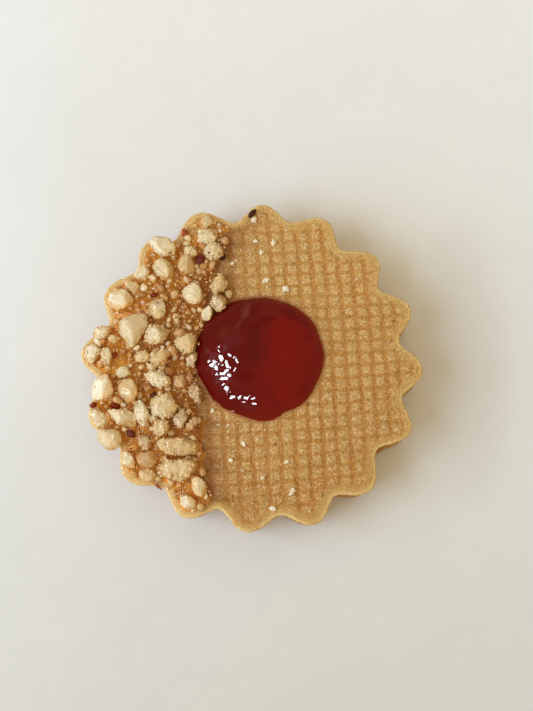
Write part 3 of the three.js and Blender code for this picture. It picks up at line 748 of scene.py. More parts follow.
# tones within the jam, some of them painted reflections (the grey-purple sheen of the room on its skin): x, y where
# seen, half lengths, heading, the colour that shows, how much of it
JAM_TONES_AND_SHEEN = [
    (8.0, 1.0, 5.0, 9.0, 0, (118, 27, 18), 0.9), (5.9, 4.7, 3.0, 4.0, 0, (122, 26, 17), 0.9),
    (0.1, 3.5, 1.8, 4.2, 0, (95, 24, 20), 0.9), (-4.4, 4.4, 2.2, 1.3, 20, (104, 38, 36), 0.8),
    (-6.2, 6.1, 2.2, 1.1, 15, (112, 42, 27), 0.7), (-7.9, 6.4, 1.2, 1.4, 0, (88, 22, 15), 0.7),
    (-10.0, 3.0, 1.2, 3.0, 0, (90, 19, 10), 0.7), (-1.7, 10.2, 0.6, 1.6, -25, (114, 53, 50), 0.9),
    (-3.0, 7.7, 0.45, 1.3, -35, (112, 48, 44), 0.8), (0.2, 10.9, 0.6, 1.4, -30, (96, 18, 12), 0.8),
    (-1.9, 8.4, 0.45, 1.4, -38, (96, 14, 10), 0.8), (3.2, 9.6, 2.6, 0.6, 8, (104, 34, 26), 0.6),
    (2.6, 8.7, 1.2, 0.7, 10, (90, 5, 5), 0.8), (0.3, 7.3, 1.0, 0.5, 20, (93, 10, 8), 0.7),
    (7.2, 10.0, 2.4, 1.2, -35, (93, 12, 8), 0.9), (10.2, 7.8, 0.5, 2.2, 30, (98, 24, 22), 0.7),
    (10.4, 4.9, 0.8, 0.5, 0, (98, 10, 8), 0.6), (-1.6, -3.0, 1.9, 0.9, 15, (98, 9, 7), 0.9),
    (-7.2, -2.6, 0.7, 2.4, 10, (104, 40, 42), 0.7), (-9.2, -3.8, 1.0, 2.6, 25, (98, 15, 8), 0.9),
    (-6.8, -7.2, 2.6, 0.8, -40, (104, 20, 13), 0.9), (-3.4, -4.0, 1.5, 1.2, 0, (112, 34, 28), 0.5),
    (-0.5, -8.6, 1.9, 0.55, -12, (104, 36, 38), 0.6), (1.0, -10.2, 3.0, 0.9, 0, (112, 28, 15), 0.7),
    (3.0, -3.5, 3.0, 3.0, 0, (112, 26, 19), 0.7), (10.3, -5.0, 1.5, 3.0, -30, (109, 24, 14), 0.6),
]


def jam_dome(x, y):
    dx, dy = x - JAM_CENTRE[0], y - JAM_CENTRE[1]
    a = np.arctan2(dy, dx)
    u = np.clip(np.hypot(dx, dy) / jam_outline(a), 0, 1)
    swell = 1 + (-0.06 * dx - 0.035 * dy) / JAM_RADIUS
    return JAM_HEIGHT * np.power(1 - np.power(u, 2.3), 0.72) * swell, u


def jam_drop():
    n, m = 440, 118
    t = np.arange(n) * 2 * np.pi / n
    a = t - 0.42 * np.sin(t - 3.7)            # finer on the side of the highlights
    # the jam runs out a little into the grooves and stands back from the nubs
    r = jam_outline(a)
    pv, ph = waffle(JAM_CENTRE[0] + r * np.cos(a), JAM_CENTRE[1] + r * np.sin(a))
    cell = smooth(0.20, 0.42, np.maximum(np.abs(pv - np.round(pv)), np.abs(ph - np.round(ph))))
    ring = np.stack([np.cos(a) * 12.3, np.sin(a) * 12.3, np.zeros(n)], -1)
    at = np.mod(a, 2 * np.pi)
    bumpy = 0.08 + 0.36 * np.exp(-((at - 4.95) / 0.30) ** 2) + 0.20 * np.exp(-((at - 4.1) / 0.28) ** 2) + 0.12 * np.exp(-((at - 1.6) / 0.5) ** 2)
    r = r + bumpy * (cell - 0.62) + 0.10 * noise(ring * 0.5, 74) + 0.05 * noise(ring * 1.3, 77)
    us = 1 - (1 - np.linspace(0, 1, m + 1)[1:]) ** 1.0
    us = np.concatenate([us[us < 0.93], 1 - 0.07 * (1 - np.linspace(0, 1, 16)) ** 1.6])
    rings = []
    for u in us[::-1]:
        rings.append(np.column_stack([JAM_CENTRE[0] + r * u * np.cos(a), JAM_CENTRE[1] + r * u * np.sin(a), np.zeros(n)]))
    v = np.concatenate(rings)
    x, y = v[:, 0].copy(), v[:, 1].copy()
    rise, u = jam_dome(x, y)
    u = np.repeat(np.asarray(us[::-1]), n)
    rise = np.where(u > 0.97, rise * smooth(1.0, 0.97, u) ** 0.5, rise)
    # soft folds of the set skin, mostly on the side towards the nuts
    fold = 1 - smooth(-6.0, 3.0, x + 0.25 * y)
    fade = 1 - smooth(0.80, 0.97, u)
    rise = rise + fade * (0.05 + 0.10 * fold) * noise(flat(x + 0.6 * noise(flat(x, y, 0.3), 70), y, 0.30), 71)
    rise = rise + fade * fold * 0.045 * noise(flat(x, y * 0.8, 0.75), 72)
    z = 9.0 + rise
    base = z.copy()
    # set the flats
    seen = apparent(np.column_stack([x, y, base]))
    view = EYE - np.column_stack([x, y, base])
    view /= np.linalg.norm(view, axis=1)[:, None]
    lamp = WINDOW_AT - np.column_stack([x, y, base])
    lamp /= np.linalg.norm(lamp, axis=1)[:, None]
    half = view + lamp
    half /= np.linalg.norm(half, axis=1)[:, None]
    gx, gy = -half[:, 0] / half[:, 2], -half[:, 1] / half[:, 2]
    for x0, y0, x1, y1, half_width in FLATS:
        half_width = half_width * (1.3 if y0 < -4 else 1.05)
        du, dv = seen[:, 0] - x0, seen[:, 1] - y0
        lx, ly = x1 - x0, y1 - y0
        k = np.clip((du * lx + dv * ly) / (lx * lx + ly * ly), 0, 1)
        d = np.hypot(du - k * lx, dv - k * ly)
        near = d < half_width + 0.45
        if not near.any():
            continue
        i = np.argmin(np.hypot(du - 0.5 * lx, dv - 0.5 * ly))
        plane = base[i] + gx[i] * (x - x[i]) + gy[i] * (y - y[i])
        w = 1 - smooth(half_width + 0.02, half_width + 0.38, d)
        z = z * (1 - w) + w * plane
        base = np.where(w > 0, z, base)
    v[:, 2] = z
    v[:, 2] = np.where(u > 0.9999, 8.93, v[:, 2])
    thick = np.maximum(v[:, 2] - 9.0, 0)
    last = np.array([[JAM_CENTRE[0], JAM_CENTRE[1], 8.6], [JAM_CENTRE[0], JAM_CENTRE[1], v[-n:, 2].mean()]])
    under = np.column_stack([JAM_CENTRE[0] + (r - 0.25) * np.cos(a), JAM_CENTRE[1] + (r - 0.25) * np.sin(a), np.full(n, 8.6)])
    v = np.concatenate([under, v, last])
    thick = np.concatenate([np.zeros(n), thick, [0, 3.4]])
    x, y = v[:, 0], v[:, 1]
    # painted glow: the colour is painted brighter towards the far side, which less of the key light reaches, as if lit
    # through the jam
    painted_glow_fall = 1.0 - 0.24 * smooth(-9, 9, x)            # less of the key light reaches the far side
    seen_x, seen_y = (apparent(v)[:, i] for i in (0, 1))
    # the red lightens towards the right, part of the same painted glow
    c = mix(np.tile(srgb(102, 26, 19), (len(v), 1)), srgb(116, 27, 19), smooth(-2, 7, x - 0.1 * y))
    wx = seen_x + 0.35 * noise(flat(x, y, 0.55), 75)
    wy = seen_y + 0.35 * noise(flat(x, y, 0.55), 76)
    # the jam's own tones, and the painted grey-purple reflections
    for tx, ty, la, lb, deg, rgb, amount in JAM_TONES_AND_SHEEN:
        co, si = math.cos(math.radians(deg)), math.sin(math.radians(deg))
        du, dv = wx - tx, wy - ty
        d2 = ((du * co + dv * si) / la) ** 2 + ((-du * si + dv * co) / lb) ** 2
        c = mix(c, srgb(*rgb), amount * np.exp(-d2 ** 1.3))
    c = np.maximum(c - np.array([0.008, 0.0068, 0.0045]), 0.0008) / painted_glow_fall[:, None]
    thin = np.exp(-thick / 0.30)
    side = 0.5 + 0.5 * np.cos(np.arctan2(y - JAM_CENTRE[1], x - JAM_CENTRE[0]) - math.radians(20))
    c = mix(c, srgb(150, 58, 26), 0.8 * thin * (0.25 + 0.75 * side))
    ob = build("jam_dome", v, ring_faces(len(us) + 1, n), c, None, jam_material("raspberry_red_jam"))
    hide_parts("jam_drop")
    return ob


# ------------------------------------------------------------------ the chopped nuts
TONES = {
    "A": (228, 205, 169), "B": (217, 195, 158), "C": (215, 193, 153), "D": (206, 180, 136), "E": (194, 164, 124),
    "F": (202, 169, 119), "G": (192, 152, 104), "H": (193, 149, 96), "I": (177, 127, 79), "J": (153, 94, 36),
    "K": (200, 140, 72),
}
# x, y where seen; tone; height; marks: r rough, s smooth, f flat; heading of the first corner in degrees; reach of
# each corner from the middle in tenths of a millimetre, the corners standing at equal steps round
NUTS = [
    (-9.4, 29.1, "D", 1.5, "s", 20, "11 11 17 12 11 14 12 16"), (-6.9, 28.2, "E", 0.8, "s", 30, "3 4 7 3 3 8"),
    (-7.9, 26.6, "H", 1.2, "s", 25, "7 7 9 10 7 7 10 10"),
    (-9.5, 25.7, "C", 1.8, "r", 25, "13 12 16 11 15 15 15 11 15 17"),
    (-5.8, 24.9, "G", 1.3, "s", 5, "8 8 11 8 7 10 9"),
    (-8.0, 22.7, "D", 2.3, "r", 20, "16 16 16 16 17 16 15 16 15 17"),
    (-12.7, 22.7, "D", 1.6, "r", 20, "9 10 12 13 12 9 11 16"), (-13.3, 24.3, "D", 0.9, "s", 10, "8 5 5 7 9 5 5 8"),
    (-13.5, 19.9, "F", 2.2, "s", 5, "15 15 19 22 18 16 16 19 21 20"),
    (-8.3, 20.0, "G", 0.9, "s", 25, "6 11 8 5 6 10 9 5"), (-9.9, 18.3, "G", 0.8, "s", 40, "3 6 9 5 3 4 9 4"),
    (-18.1, 23.7, "C", 2.4, "s", 25, "19 18 20 22 28 28 18 18 21 22 28 27"),
    (-16.1, 21.6, "C", 0.6, "", 45, "4 4 5 3 5 3"), (-17.9, 19.0, "D", 2.5, "", 0, "17 16 19 21 23 17 17 18 21 22"),
    (-16.6, 16.6, "F", 1.0, "", 10, "4 7 6 4 5 7 6"), (-13.3, 16.7, "G", 1.1, "s", 35, "9 9 11 9 9 11 9 11"),
    (-22.2, 18.1, "B", 1.7, "s", 15, "15 17 14 12 11 21 14 13 14 14"),
    (-20.0, 17.1, "F", 1.3, "s", 40, "7 10 12 8 7 10 12 8"),
    (-26.2, 12.7, "A", 2.9, "s", 10, "23 21 21 20 20 26 22 18 19 24"),
    (-24.0, 15.0, "F", 1.5, "s", 5, "13 14 11 21 22 9 6 7 27 17"), (-26.6, 10.7, "A", 0.7, "", 0, "3 4 4 3 3 5"),
    (-23.0, 11.6, "K", 0.7, "s", 0, "5 6 5 5 6"), (-25.0, 9.5, "K", 0.8, "f", 5, "20 13 5 5 8 21 10 7 6 10"),
    (-18.9, 10.9, "D", 2.2, "", 25, "13 20 21 19 14 14 18 22 18 14"),
    (-20.7, 9.9, "H", 1.0, "s", 30, "5 10 9 5 5 10 8 6"), (-18.4, 15.0, "I", 1.0, "s", 5, "7 6 8 13 8 6 7 14"),
    (-17.6, 13.1, "H", 1.0, "s", 10, "6 5 7 14 7 5 7 12"),
    (-23.5, 6.9, "D", 2.7, "s", 20, "29 37 29 24 27 28 28 26 39 28 20 22"),
    (-26.8, 8.2, "D", 0.8, "s", 0, "8 6 5 8 6 6 5"),
    (-12.0, 13.8, "C", 2.5, "s", 20, "15 19 24 19 21 18 18 19 22 20"),
    (-11.3, 16.0, "E", 1.4, "", 25, "4 4 13 4 4 5 10 6"), (-10.6, 17.0, "G", 1.0, "", 5, "2 5 3 2 5 3"),
    (-6.9, 16.0, "F", 2.1, "r", 5, "11 12 24 14 11 12 19 25 13 16"),
    (-5.0, 13.8, "E", 1.2, "s", 15, "7 8 9 11 6 7 9 8"),
    (-7.0, 12.1, "E", 2.0, "", 20, "14 16 14 16 14 14 14 18 14 13"),
    (-9.2, 9.9, "C", 1.8, "s", 10, "9 13 17 9 9 11 13 14 13 9"), (-10.2, 8.3, "G", 0.6, "", 15, "2 3 5 1 4"),
    (-11.8, 10.5, "E", 0.7, "", 60, "5 7 4 5 5"), (-15.6, 13.7, "F", 1.3, "", 0, "7 8 9 8 7 8 8 9"),
    (-15.1, 8.5, "F", 1.1, "", 25, "2 2 18 5 3 5 13 4"),
    (-29.7, 6.0, "C", 1.6, "f", 5, "15 18 10 10 17 14 14 16 10 12"), (-30.4, 4.1, "A", 0.9, "", 5, "4 5 13 6 5 9 12"),
    (-29.4, 4.2, "K", 1.1, "", 40, "5 8 5 5 4 8 4 3"), (-27.3, 4.7, "F", 1.2, "", 5, "14 6 8 13 10 9 7 10"),
    (-31.4, 1.9, "B", 1.7, "", 20, "15 14 18 15 11 13 16 19 12 13"),
    (-28.6, 1.3, "D", 1.8, "", 10, "8 11 16 17 9 8 9 20 14 8"), (-27.3, 2.4, "F", 0.7, "s", 10, "3 4 5 3 5 5"),
    (-23.6, 2.2, "I", 0.5, "", 15, "3 3 5 3 4 4"), (-24.6, -0.6, "E", 0.4, "", 25, "2 2 3 2 2 3"),
    (-25.3, 2.3, "I", 0.5, "s", 25, "4 4 5 4 4 5"), (-19.1, 5.5, "D", 2.3, "r", 20, "23 18 18 18 20 23 19 16 19 16"),
    (-14.7, 6.0, "G", 1.3, "s", 0, "13 11 9 10 13 10 9 10"), (-12.7, 7.1, "E", 1.0, "", 20, "5 5 8 4 5 7"),
    (-13.2, 3.8, "F", 2.6, "", 25, "19 25 14 19 24 17 19 20 16"), (-14.7, 1.5, "J", 0.4, "", 25, "2 2 3 2 2 3"),
    (-13.8, 1.1, "G", 0.6, "", 15, "3 4 5 3 4 5"), (-12.1, 0.7, "E", 1.6, "r", 20, "9 17 13 7 7 9 17 13 7 6"),
    (-16.0, 2.4, "H", 1.5, "r", 35, "8 9 16 9 9 11 13 11"),
    (-18.4, 1.2, "F", 2.0, "r", 15, "18 19 12 11 19 18 15 16 15 14"), (-18.8, 2.7, "G", 0.7, "s", 45, "5 3 5 5 3 5"),
    (-17.2, 0.6, "G", 0.6, "", 15, "3 4 6 3 4 5"), (-21.7, 1.2, "F", 1.8, "", 5, "13 13 12 15 14 12 12 16"),
    (-19.7, -0.8, "D", 1.0, "r", 0, "11 6 7 11 7 7 8"), (-17.9, -1.0, "D", 1.0, "r", 35, "6 7 9 4 5 8 6 6"),
    (-21.2, 2.8, "J", 0.6, "s", 30, "4 3 6 4 4 5"), (-16.6, 0.3, "I", 0.7, "s", 15, "5 7 3 6 5 4"),
    (-22.7, -0.5, "I", 0.6, "s", 15, "4 4 4 4 4 4"), (-25.3, -2.0, "C", 1.7, "", 20, "15 13 11 11 12 15 14 9 10 15"),
    (-24.3, -5.4, "F", 2.5, "s", 20, "17 21 21 22 21 15 16 25 22 19"),
    (-29.2, -5.0, "A", 2.7, "s", 15, "19 20 29 28 17 16 19 27 26 23 22 20"),
    (-26.2, -7.4, "H", 1.1, "s", 10, "7 6 9 11 10 5 7 15"), (-25.0, -8.4, "D", 0.9, "", 10, "3 3 5 9 4 3 4 7"),
    (-24.9, -10.8, "D", 2.0, "", 35, "18 15 15 34 18 13 13 30 23"),
    (-29.5, -11.2, "B", 1.8, "", 30, "12 13 17 24 13 11 13 19 23 14"),
    (-27.9, -10.6, "K", 1.3, "f", 15, "6 6 9 19 7 6 8 16 14"),
    (-18.5, -3.3, "B", 2.2, "r", 0, "24 14 15 16 28 16 13 15 24"),
    (-16.3, -1.8, "J", 1.3, "s", 40, "9 9 10 10 10 8 10 10"),
    (-14.3, -3.7, "G", 1.7, "s", 10, "13 16 11 17 14 12 14 16"), (-12.5, -3.0, "I", 1.1, "r", 25, "7 7 6 8 7 7 8"),
    (-12.4, -4.9, "E", 0.4, "", 50, "3 2 3 3 2 3"), (-14.1, -6.8, "I", 0.7, "s", 10, "5 5 5 5 5"),
    (-14.8, -5.2, "J", 0.3, "", 45, "3 2 2 3 2 2"), (-17.4, -8.7, "D", 2.6, "r", 0, "24 22 24 21 23 25 24 19 21 25"),
    (-14.6, -8.7, "D", 0.6, "", 45, "2 4 4 2 4 4"), (-19.3, -10.9, "C", 1.1, "r", 10, "11 6 6 8 8 6 6"),
    (-14.0, -11.0, "E", 1.8, "r", 0, "9 13 18 11 10 11 14 17 9"), (-12.6, -9.6, "G", 1.0, "", 30, "7 5 6 7 5 6 6 6"),
    (-11.9, -12.1, "G", 1.4, "r", 10, "7 22 9 6 6 9 21 9 5 5"),
    (-11.2, -6.1, "E", 1.2, "r", 10, "5 8 15 17 11 8 8 10 21 7"),
    (-21.7, -9.9, "B", 1.9, "r", 10, "12 11 15 25 17 9 11 16 13 29 19 16"),
    (-17.8, -12.8, "F", 2.0, "r", 20, "12 17 14 13 13 14 15 14 13"),
    (-20.5, -12.1, "F", 0.8, "s", 20, "4 6 10 4 4 9 6 5"),
    (-27.5, -14.8, "D", 2.2, "s", 30, "22 18 16 27 23 17 20 21 24 23"),
    (-22.9, -16.5, "K", 0.8, "s", 10, "10 9 6 6 11 8 6 7"), (-21.9, -13.6, "I", 0.6, "s", 15, "3 4 5 3 5 4"),
    (-20.8, -15.5, "E", 1.6, "r", 20, "10 11 13 14 9 8 17 13"),
    (-20.4, -18.7, "G", 1.6, "s", 20, "18 18 13 17 21 17 15 15 19 18"),
    (-23.8, -18.9, "C", 1.4, "s", 25, "9 10 17 16 11 10 11 13 17 11"),
    (-14.1, -16.3, "F", 2.3, "r", 10, "42 19 14 14 17 39 37 21 14 15 19 38"),
    (-14.4, -20.5, "F", 2.1, "r", 25, "39 19 14 14 26 42 28 20 20 25 25 30"),
    (-16.8, -18.6, "F", 0.9, "", 10, "4 6 6 4 6 5"), (-12.4, -18.5, "D", 0.7, "", 35, "5 4 7 5 4 7"),
    (-11.1, -18.9, "J", 0.6, "s", 55, "5 4 4 5 4 4"), (-9.8, -21.2, "G", 0.9, "s", 40, "5 8 9 6 6 8 9 6"),
    (-10.4, -23.8, "B", 1.8, "s", 10, "12 12 17 26 11 11 18 21 19"),
    (-12.4, -26.9, "B", 1.8, "s", 30, "11 10 12 17 14 12 13 12 14 18"),
    (-20.1, -21.8, "F", 1.4, "s", 0, "15 13 11 12 17 15 12 11 15"),
    (-15.7, -23.1, "F", 0.9, "s", 10, "7 7 7 6 7 8 6"), (-16.3, -24.3, "B", 0.4, "", 30, "3 2 3 3 2 3"),
    (-13.9, -23.6, "K", 0.6, "s", 55, "5 4 4 4 4"), (-8.4, -24.9, "I", 0.5, "", 20, "3 3 4 3 3 4"),
    (-8.2, -25.5, "G", 0.4, "", 20, "3 2 3 3 2 3"), (-13.5, 11.4, "I", 0.6, "s", 15, "4 4 6 4 4 6"),
    (-15.2, 11.5, "I", 0.6, "s", 20, "4 4 5 4 4 5"), (-13.6, 9.2, "I", 0.6, "s", 15, "4 4 6 4 4 6"),
    (-21.6, 12.2, "I", 0.7, "s", 15, "4 5 7 4 5 6"), (-22.6, 10.5, "H", 0.6, "s", 15, "4 4 6 4 4 6"),
    (-20.9, 19.6, "D", 0.6, "", 60, "4 5 4 4 4"), (-15.3, 17.7, "G", 0.6, "s", 15, "4 4 6 4 4 6"),
]
SKINS = [  # the same for the brown skins, with their own colour
    (-10.8, 21.0, (92, 26, 14), 0.9, "x", 20, "9 10 9 12 9 8 13 9"),
    (-6.4, 21.6, (52, 26, 26), 1.3, "x", 25, "7 11 3 3 14 4 5 7"),
    (-13.9, 26.6, (140, 72, 46), 0.8, "x", 10, "7 6 11 6 6 10 6 7"),
    (-19.7, 13.6, (98, 32, 14), 0.8, "x", 30, "8 4 4 7 8 4 4 7"),
    (-27.0, 1.5, (132, 48, 12), 0.8, "x", 40, "7 7 4 5 7 8 5 4"),
    (-30.9, -8.3, (118, 54, 34), 0.9, "x", 15, "7 7 5 5 8 6 5 5"),
    (-26.6, -8.6, (104, 32, 12), 1.0, "x", 0, "11 6 7 8 14 4 7 9"),
    (-19.4, -6.4, (78, 36, 26), 0.8, "x", 35, "6 8 4 9 6 6 6 6"),
    (-23.4, -13.9, (88, 38, 26), 0.9, "x", 30, "6 7 9 11 7 6 9 10"),
    (-18.1, -23.9, (130, 70, 48), 0.6, "x", 10, "2 2 3 13 3 2 3 13"),
]
BITS = [  # bits of skin on or beside the pieces: x, y, length, width, heading, colour
    (-0.35, 30.8, 2.5, 1.0, 55, (66, 26, 22)), (-9.0, 22.4, 0.5, 0.4, 0, (110, 52, 24)),
    (-11.6, -2.6, 0.7, 0.6, 0, (84, 40, 26)), (-11.4, -12.9, 1.4, 0.9, 80, (150, 84, 38)),
    (-14.5, 22.9, 0.9, 0.4, -50, (148, 84, 40)), (-23.4, -16.7, 0.4, 0.3, 0, (90, 44, 20)),
    (-16.7, 22.3, 0.4, 0.3, 0, (96, 40, 18)), (-18.9, 12.1, 0.3, 0.25, 0, (96, 40, 18)),
]
CRUMBS = [  # x, y, length, width, heading
    (2.5, 16.8, 1.3, 1.1, 60), (2.5, 15.4, 0.7, 0.6, 0), (6.3, 15.1, 1.6, 1.3, -20), (0.3, 25.0, 0.9, 0.7, -20),
    (3.9, 24.7, 1.7, 0.9, 70), (-2.6, 23.2, 0.6, 0.5, 0), (-0.7, 22.3, 0.6, 0.35, 60), (1.5, 22.6, 1.3, 0.8, 80),
    (6.5, 27.4, 0.6, 0.3, 90), (10.3, 23.5, 0.6, 0.5, 0), (0.0, 29.5, 1.7, 1.1, 100), (7.2, -24.9, 1.9, 0.75, 58),
    (3.5, -28.0, 1.3, 1.0, 20), (-0.2, -13.0, 0.5, 0.4, 0), (2.1, -13.0, 0.5, 0.4, 0), (-0.1, -14.0, 0.6, 0.5, 0),
    (-2.0, -15.8, 1.4, 0.7, -70), (6.2, -19.2, 0.9, 0.7, 0), (1.7, -22.2, 0.9, 0.6, 10), (-4.3, 20.3, 0.9, 0.7, 0),
    (-3.6, 20.9, 0.5, 0.4, 0), (-4.4, -18.9, 1.0, 0.8, -40), (-2.2, -20.8, 0.6, 0.5, 0), (-6.8, -12.2, 0.7, 0.5, 0),
    (-4.9, -12.1, 0.6, 0.5, 30), (-3.2, -11.9, 0.5, 0.4, 0), (0.6, -15.0, 0.5, 0.4, 0), (-8.0, -9.4, 1.0, 0.9, 0),
]


def plan_radius(poly, samples=240, soften=2.2):
    """Radius about the origin, for each direction, of the polygon poly, with softened corners."""
    p = np.asarray(poly, float)
    q = np.roll(p, -1, 0)
    a = np.arange(samples) * 2 * np.pi / samples
    d = np.stack([np.cos(a), np.sin(a)], -1)
    r = np.full(samples, np.nan)
    for s, e in zip(p, q):
        w = e - s
        den = d[:, 0] * w[1] - d[:, 1] * w[0]
        with np.errstate(divide="ignore", invalid="ignore"):
            t = (s[0] * w[1] - s[1] * w[0]) / den
            k = (s[0] * d[:, 1] - s[1] * d[:, 0]) / den
        ok = (k >= -1e-9) & (k <= 1 + 1e-9) & (t > 0)
        r = np.where(ok & ~(r < t), t, r)
    bad = np.isnan(r)
    if bad.any():
        idx = np.arange(samples)
        r[bad] = np.interp(idx[bad], idx[~bad], r[~bad])
    g = np.exp(-0.5 * (np.arange(-9, 10) / soften) ** 2)
    g /= g.sum()
    pad = np.concatenate([r[-9:], r, r[:9]])
    return np.convolve(pad, g, "valid")


def random_poly(rng, length, width):
    """A broken outline of the given length and width: five to eight unequal corners."""
    n = int(rng.integers(5, 9))
    a = (np.arange(n) + rng.uniform(-0.32, 0.32, n)) * 2 * np.pi / n + rng.uniform(0, 6.28)
    r = rng.uniform(0.82, 1.12, n)
    p = np.stack([np.cos(a) * r, np.sin(a) * r], -1)
    p -= (p.max(0) + p.min(0)) / 2
    return p / (p.max(0) - p.min(0)) * np.array([length, width])


NUT_GAIN = 1.15              # a piece's own colour over the mean that shows, its edges being in shade
CHIPS = [(196, 139, 75), (205, 152, 89), (215, 170, 109), (225, 190, 137), (187, 127, 61), (233, 206, 160), (206, 156, 95)]
AMBER_IN, AMBER_OUT = (155, 93, 37), (198, 130, 53)
POOLS = [  # clear or pale places in the glaze: x, y, size, colour
    (-24.0, -15.5, 1.7, (196, 120, 46)), (-29.8, -8.5, 1.0, (206, 134, 24)), (-12.4, 27.9, 3.2, (202, 158, 112)),
    (-14.0, 26.0, 1.8, (198, 148, 98)), (-27.0, -0.5, 1.8, (200, 140, 60)), (-8.0, 28.5, 3.0, (190, 140, 86)),
    (-5.8, 25.0, 2.4, (178, 126, 70)), (-5.6, 21.0, 2.0, (170, 118, 62)),
]


def corners(reaches, first):
    """The corners of a piece from their reaches in tenths of a millimetre."""
    r = np.array([int(t) for t in reaches.split()]) / 10
    a = math.radians(first) + np.arange(len(r)) * 2 * np.pi / len(r)
    return np.stack([np.cos(a) * r, np.sin(a) * r], -1)


_COARSE = {}


def coarse(level, base):
    """For each point of a fine icosphere: the corners of the coarse face it lies on, its weights there, that face."""
    if (level, base) not in _COARSE:
        d, _ = ico(level)
        cv, cf = ico(base)
        inverse = np.linalg.inv(np.transpose(cv[cf], (0, 2, 1)))
        w = np.einsum("fij,nj->fni", inverse, d)
        best = w.min(2).argmax(0)
        w = np.clip(w[best, np.arange(len(d))], 0, None)
        _COARSE[level, base] = (cf[best], w / w.sum(1)[:, None], best)
    return _COARSE[level, base]


def lump(rng, radius, height, level, rough, facets, tilt=0.08, boxy=0.45, ragged=0.0, crisp=0.65):
    """One broken nut piece about the origin: plan radius by direction, steep sides, flat fracture faces, flaky grain.
    Returns points, faces, and a tone from -1 to 1 for each point: its face's, with painted shade darker in the cracks
    and at the border."""
    d, f = ico(level)
    seed = int(rng.integers(1, 9999))
    mean = float(np.mean(radius))

    def form(d):
        th = np.arctan2(d[:, 1], d[:, 0])
        s = np.clip(d[:, 2], -1, 1)
        rr = np.interp(np.mod(th, 2 * np.pi), np.arange(len(radius) + 1) * 2 * np.pi / len(radius), np.append(radius, radius[0]))
        if ragged:
            ring = np.stack([np.cos(th) * mean, np.sin(th) * mean, 0.8 * s], -1)
            rr = rr + ragged * (0.45 - 1.2 * np.abs(noise(ring * 1.1 + seed, seed + 2)) + 0.55 * noise(ring * 2.6 + seed, seed + 3)
                                + 0.4 * noise(ring * 5.0 + seed, seed + 4))
        rho = rr * np.sqrt(1 - s * s) ** boxy
        z = 0.5 * height * np.sign(s) * np.abs(s) ** (boxy + 0.1)
        return np.stack([np.cos(th) * rho, np.sin(th) * rho, z], -1), rho / rr

    p, out = form(d)
    tone = np.zeros(len(p))
    base = 1 if level < 5 else 3 if float(np.max(radius)) > 3.2 else 2
    if level > base:
        corner, weight, face = coarse(level, base)
        cv, cf = ico(base)
        q, _ = form(cv)
        q = q * np.column_stack([np.repeat(rng.uniform(0.93, 1.08, len(q))[:, None], 2, 1), rng.uniform(0.72, 1.12, len(q))])
        p = (1 - crisp) * p + crisp * np.einsum("nk,nkj->nj", weight, q[corner])
        tone = rng.uniform(-0.5, 0.7, len(cf))[face]
    if ragged:
        jag = 0.6 * noise(p * 2.2 + seed, seed + 5) + 0.8 * noise(p * 4.6 + seed, seed + 6)
        far = np.maximum(np.hypot(p[:, 0], p[:, 1]), 1e-3)
        p[:, :2] *= (1 + ragged * 1.2 * jag * smooth(0.45, 0.95, out) / far)[:, None]
    scale = np.array([mean, mean, 0.5 * height])
    q = p / scale
    for i in range(facets):
        n = rng.normal(size=3)
        n[2] = abs(n[2]) * 0.7 + 0.55
        n /= np.linalg.norm(n)
        h = (q @ n).max() * rng.uniform(0.55, 0.85)
        # broken off along a plane, down along z so that the outline keeps its shape
        plane = np.maximum((h - q[:, 0] * n[0] - q[:, 1] * n[1]) / n[2], -0.35) * scale[2]
        cut = p[:, 2] > plane
        p[:, 2] = np.where(cut, plane, p[:, 2])
        tone = np.where(cut, rng.uniform(-0.5, 0.9), tone)
    flake = 1 - 2.2 * np.abs(noise(p * 0.95 + seed, seed + 9))
    chip = 1 - 2.2 * np.abs(noise(p * 2.1 + seed, seed + 11))
    fine = noise(p * 4.5 + seed, seed + 13)
    g = min(1.0, 0.4 + 0.4 * mean) * rough * (0.08 * flake + 0.08 * chip + 0.045 * fine)
    p = p + d * g[:, None]
    # painted shade: the tone falls in the cracks and towards the steep border of the piece
    tone = tone + min(rough, 1.3) * (0.4 * np.minimum(flake, 0.5) + 0.4 * np.minimum(chip, 0.5)) - 0.9 * smooth(0.72, 1.0, out)
    ax, ay = rng.normal(0, tilt, 2)
    R = np.array(Matrix.Rotation(ax, 3, "X") @ Matrix.Rotation(ay, 3, "Y"))
    return p @ R.T, f, np.clip(tone, -1.2, 1.2)


def shard(rng, length, width, height):
    """A small angular splinter of few flat faces; returns points, faces and a tone for each point."""
    d, f = ico(1)
    p = d * rng.uniform(0.45, 1.35, (len(d), 1)) * np.array([length, width, height]) / 2
    R = np.array(Matrix.Rotation(rng.uniform(-0.5, 0.5), 3, "X") @ Matrix.Rotation(rng.uniform(-0.5, 0.5), 3, "Y")
                 @ Matrix.Rotation(rng.uniform(0, 6.28), 3, "Z"))
    return p @ R.T, f, rng.uniform(-0.6, 0.8, len(d))


def turn_z(p, a):
    R = np.array([[math.cos(a), -math.sin(a), 0], [math.sin(a), math.cos(a), 0], [0, 0, 1]])
    return p @ R.T


def level_for(size):
    return 5 if size >= 2.9 else 4 if size >= 1.15 else 3


class Pile:
    """Pieces of one kind gathered into one mesh."""

    def __init__(self):
        self.v, self.f, self.c, self.count = [], [], [], 0

    def add(self, v, f, c):
        self.v.append(v)
        self.f.append(f + self.count)
        self.c.append(c)
        self.count += len(v)

    def done(self, name, material, slot, shade=True):
        if not self.v:
            return None
        return build(name, np.concatenate(self.v), [np.concatenate(self.f)], np.concatenate(self.c), None, material, shade)


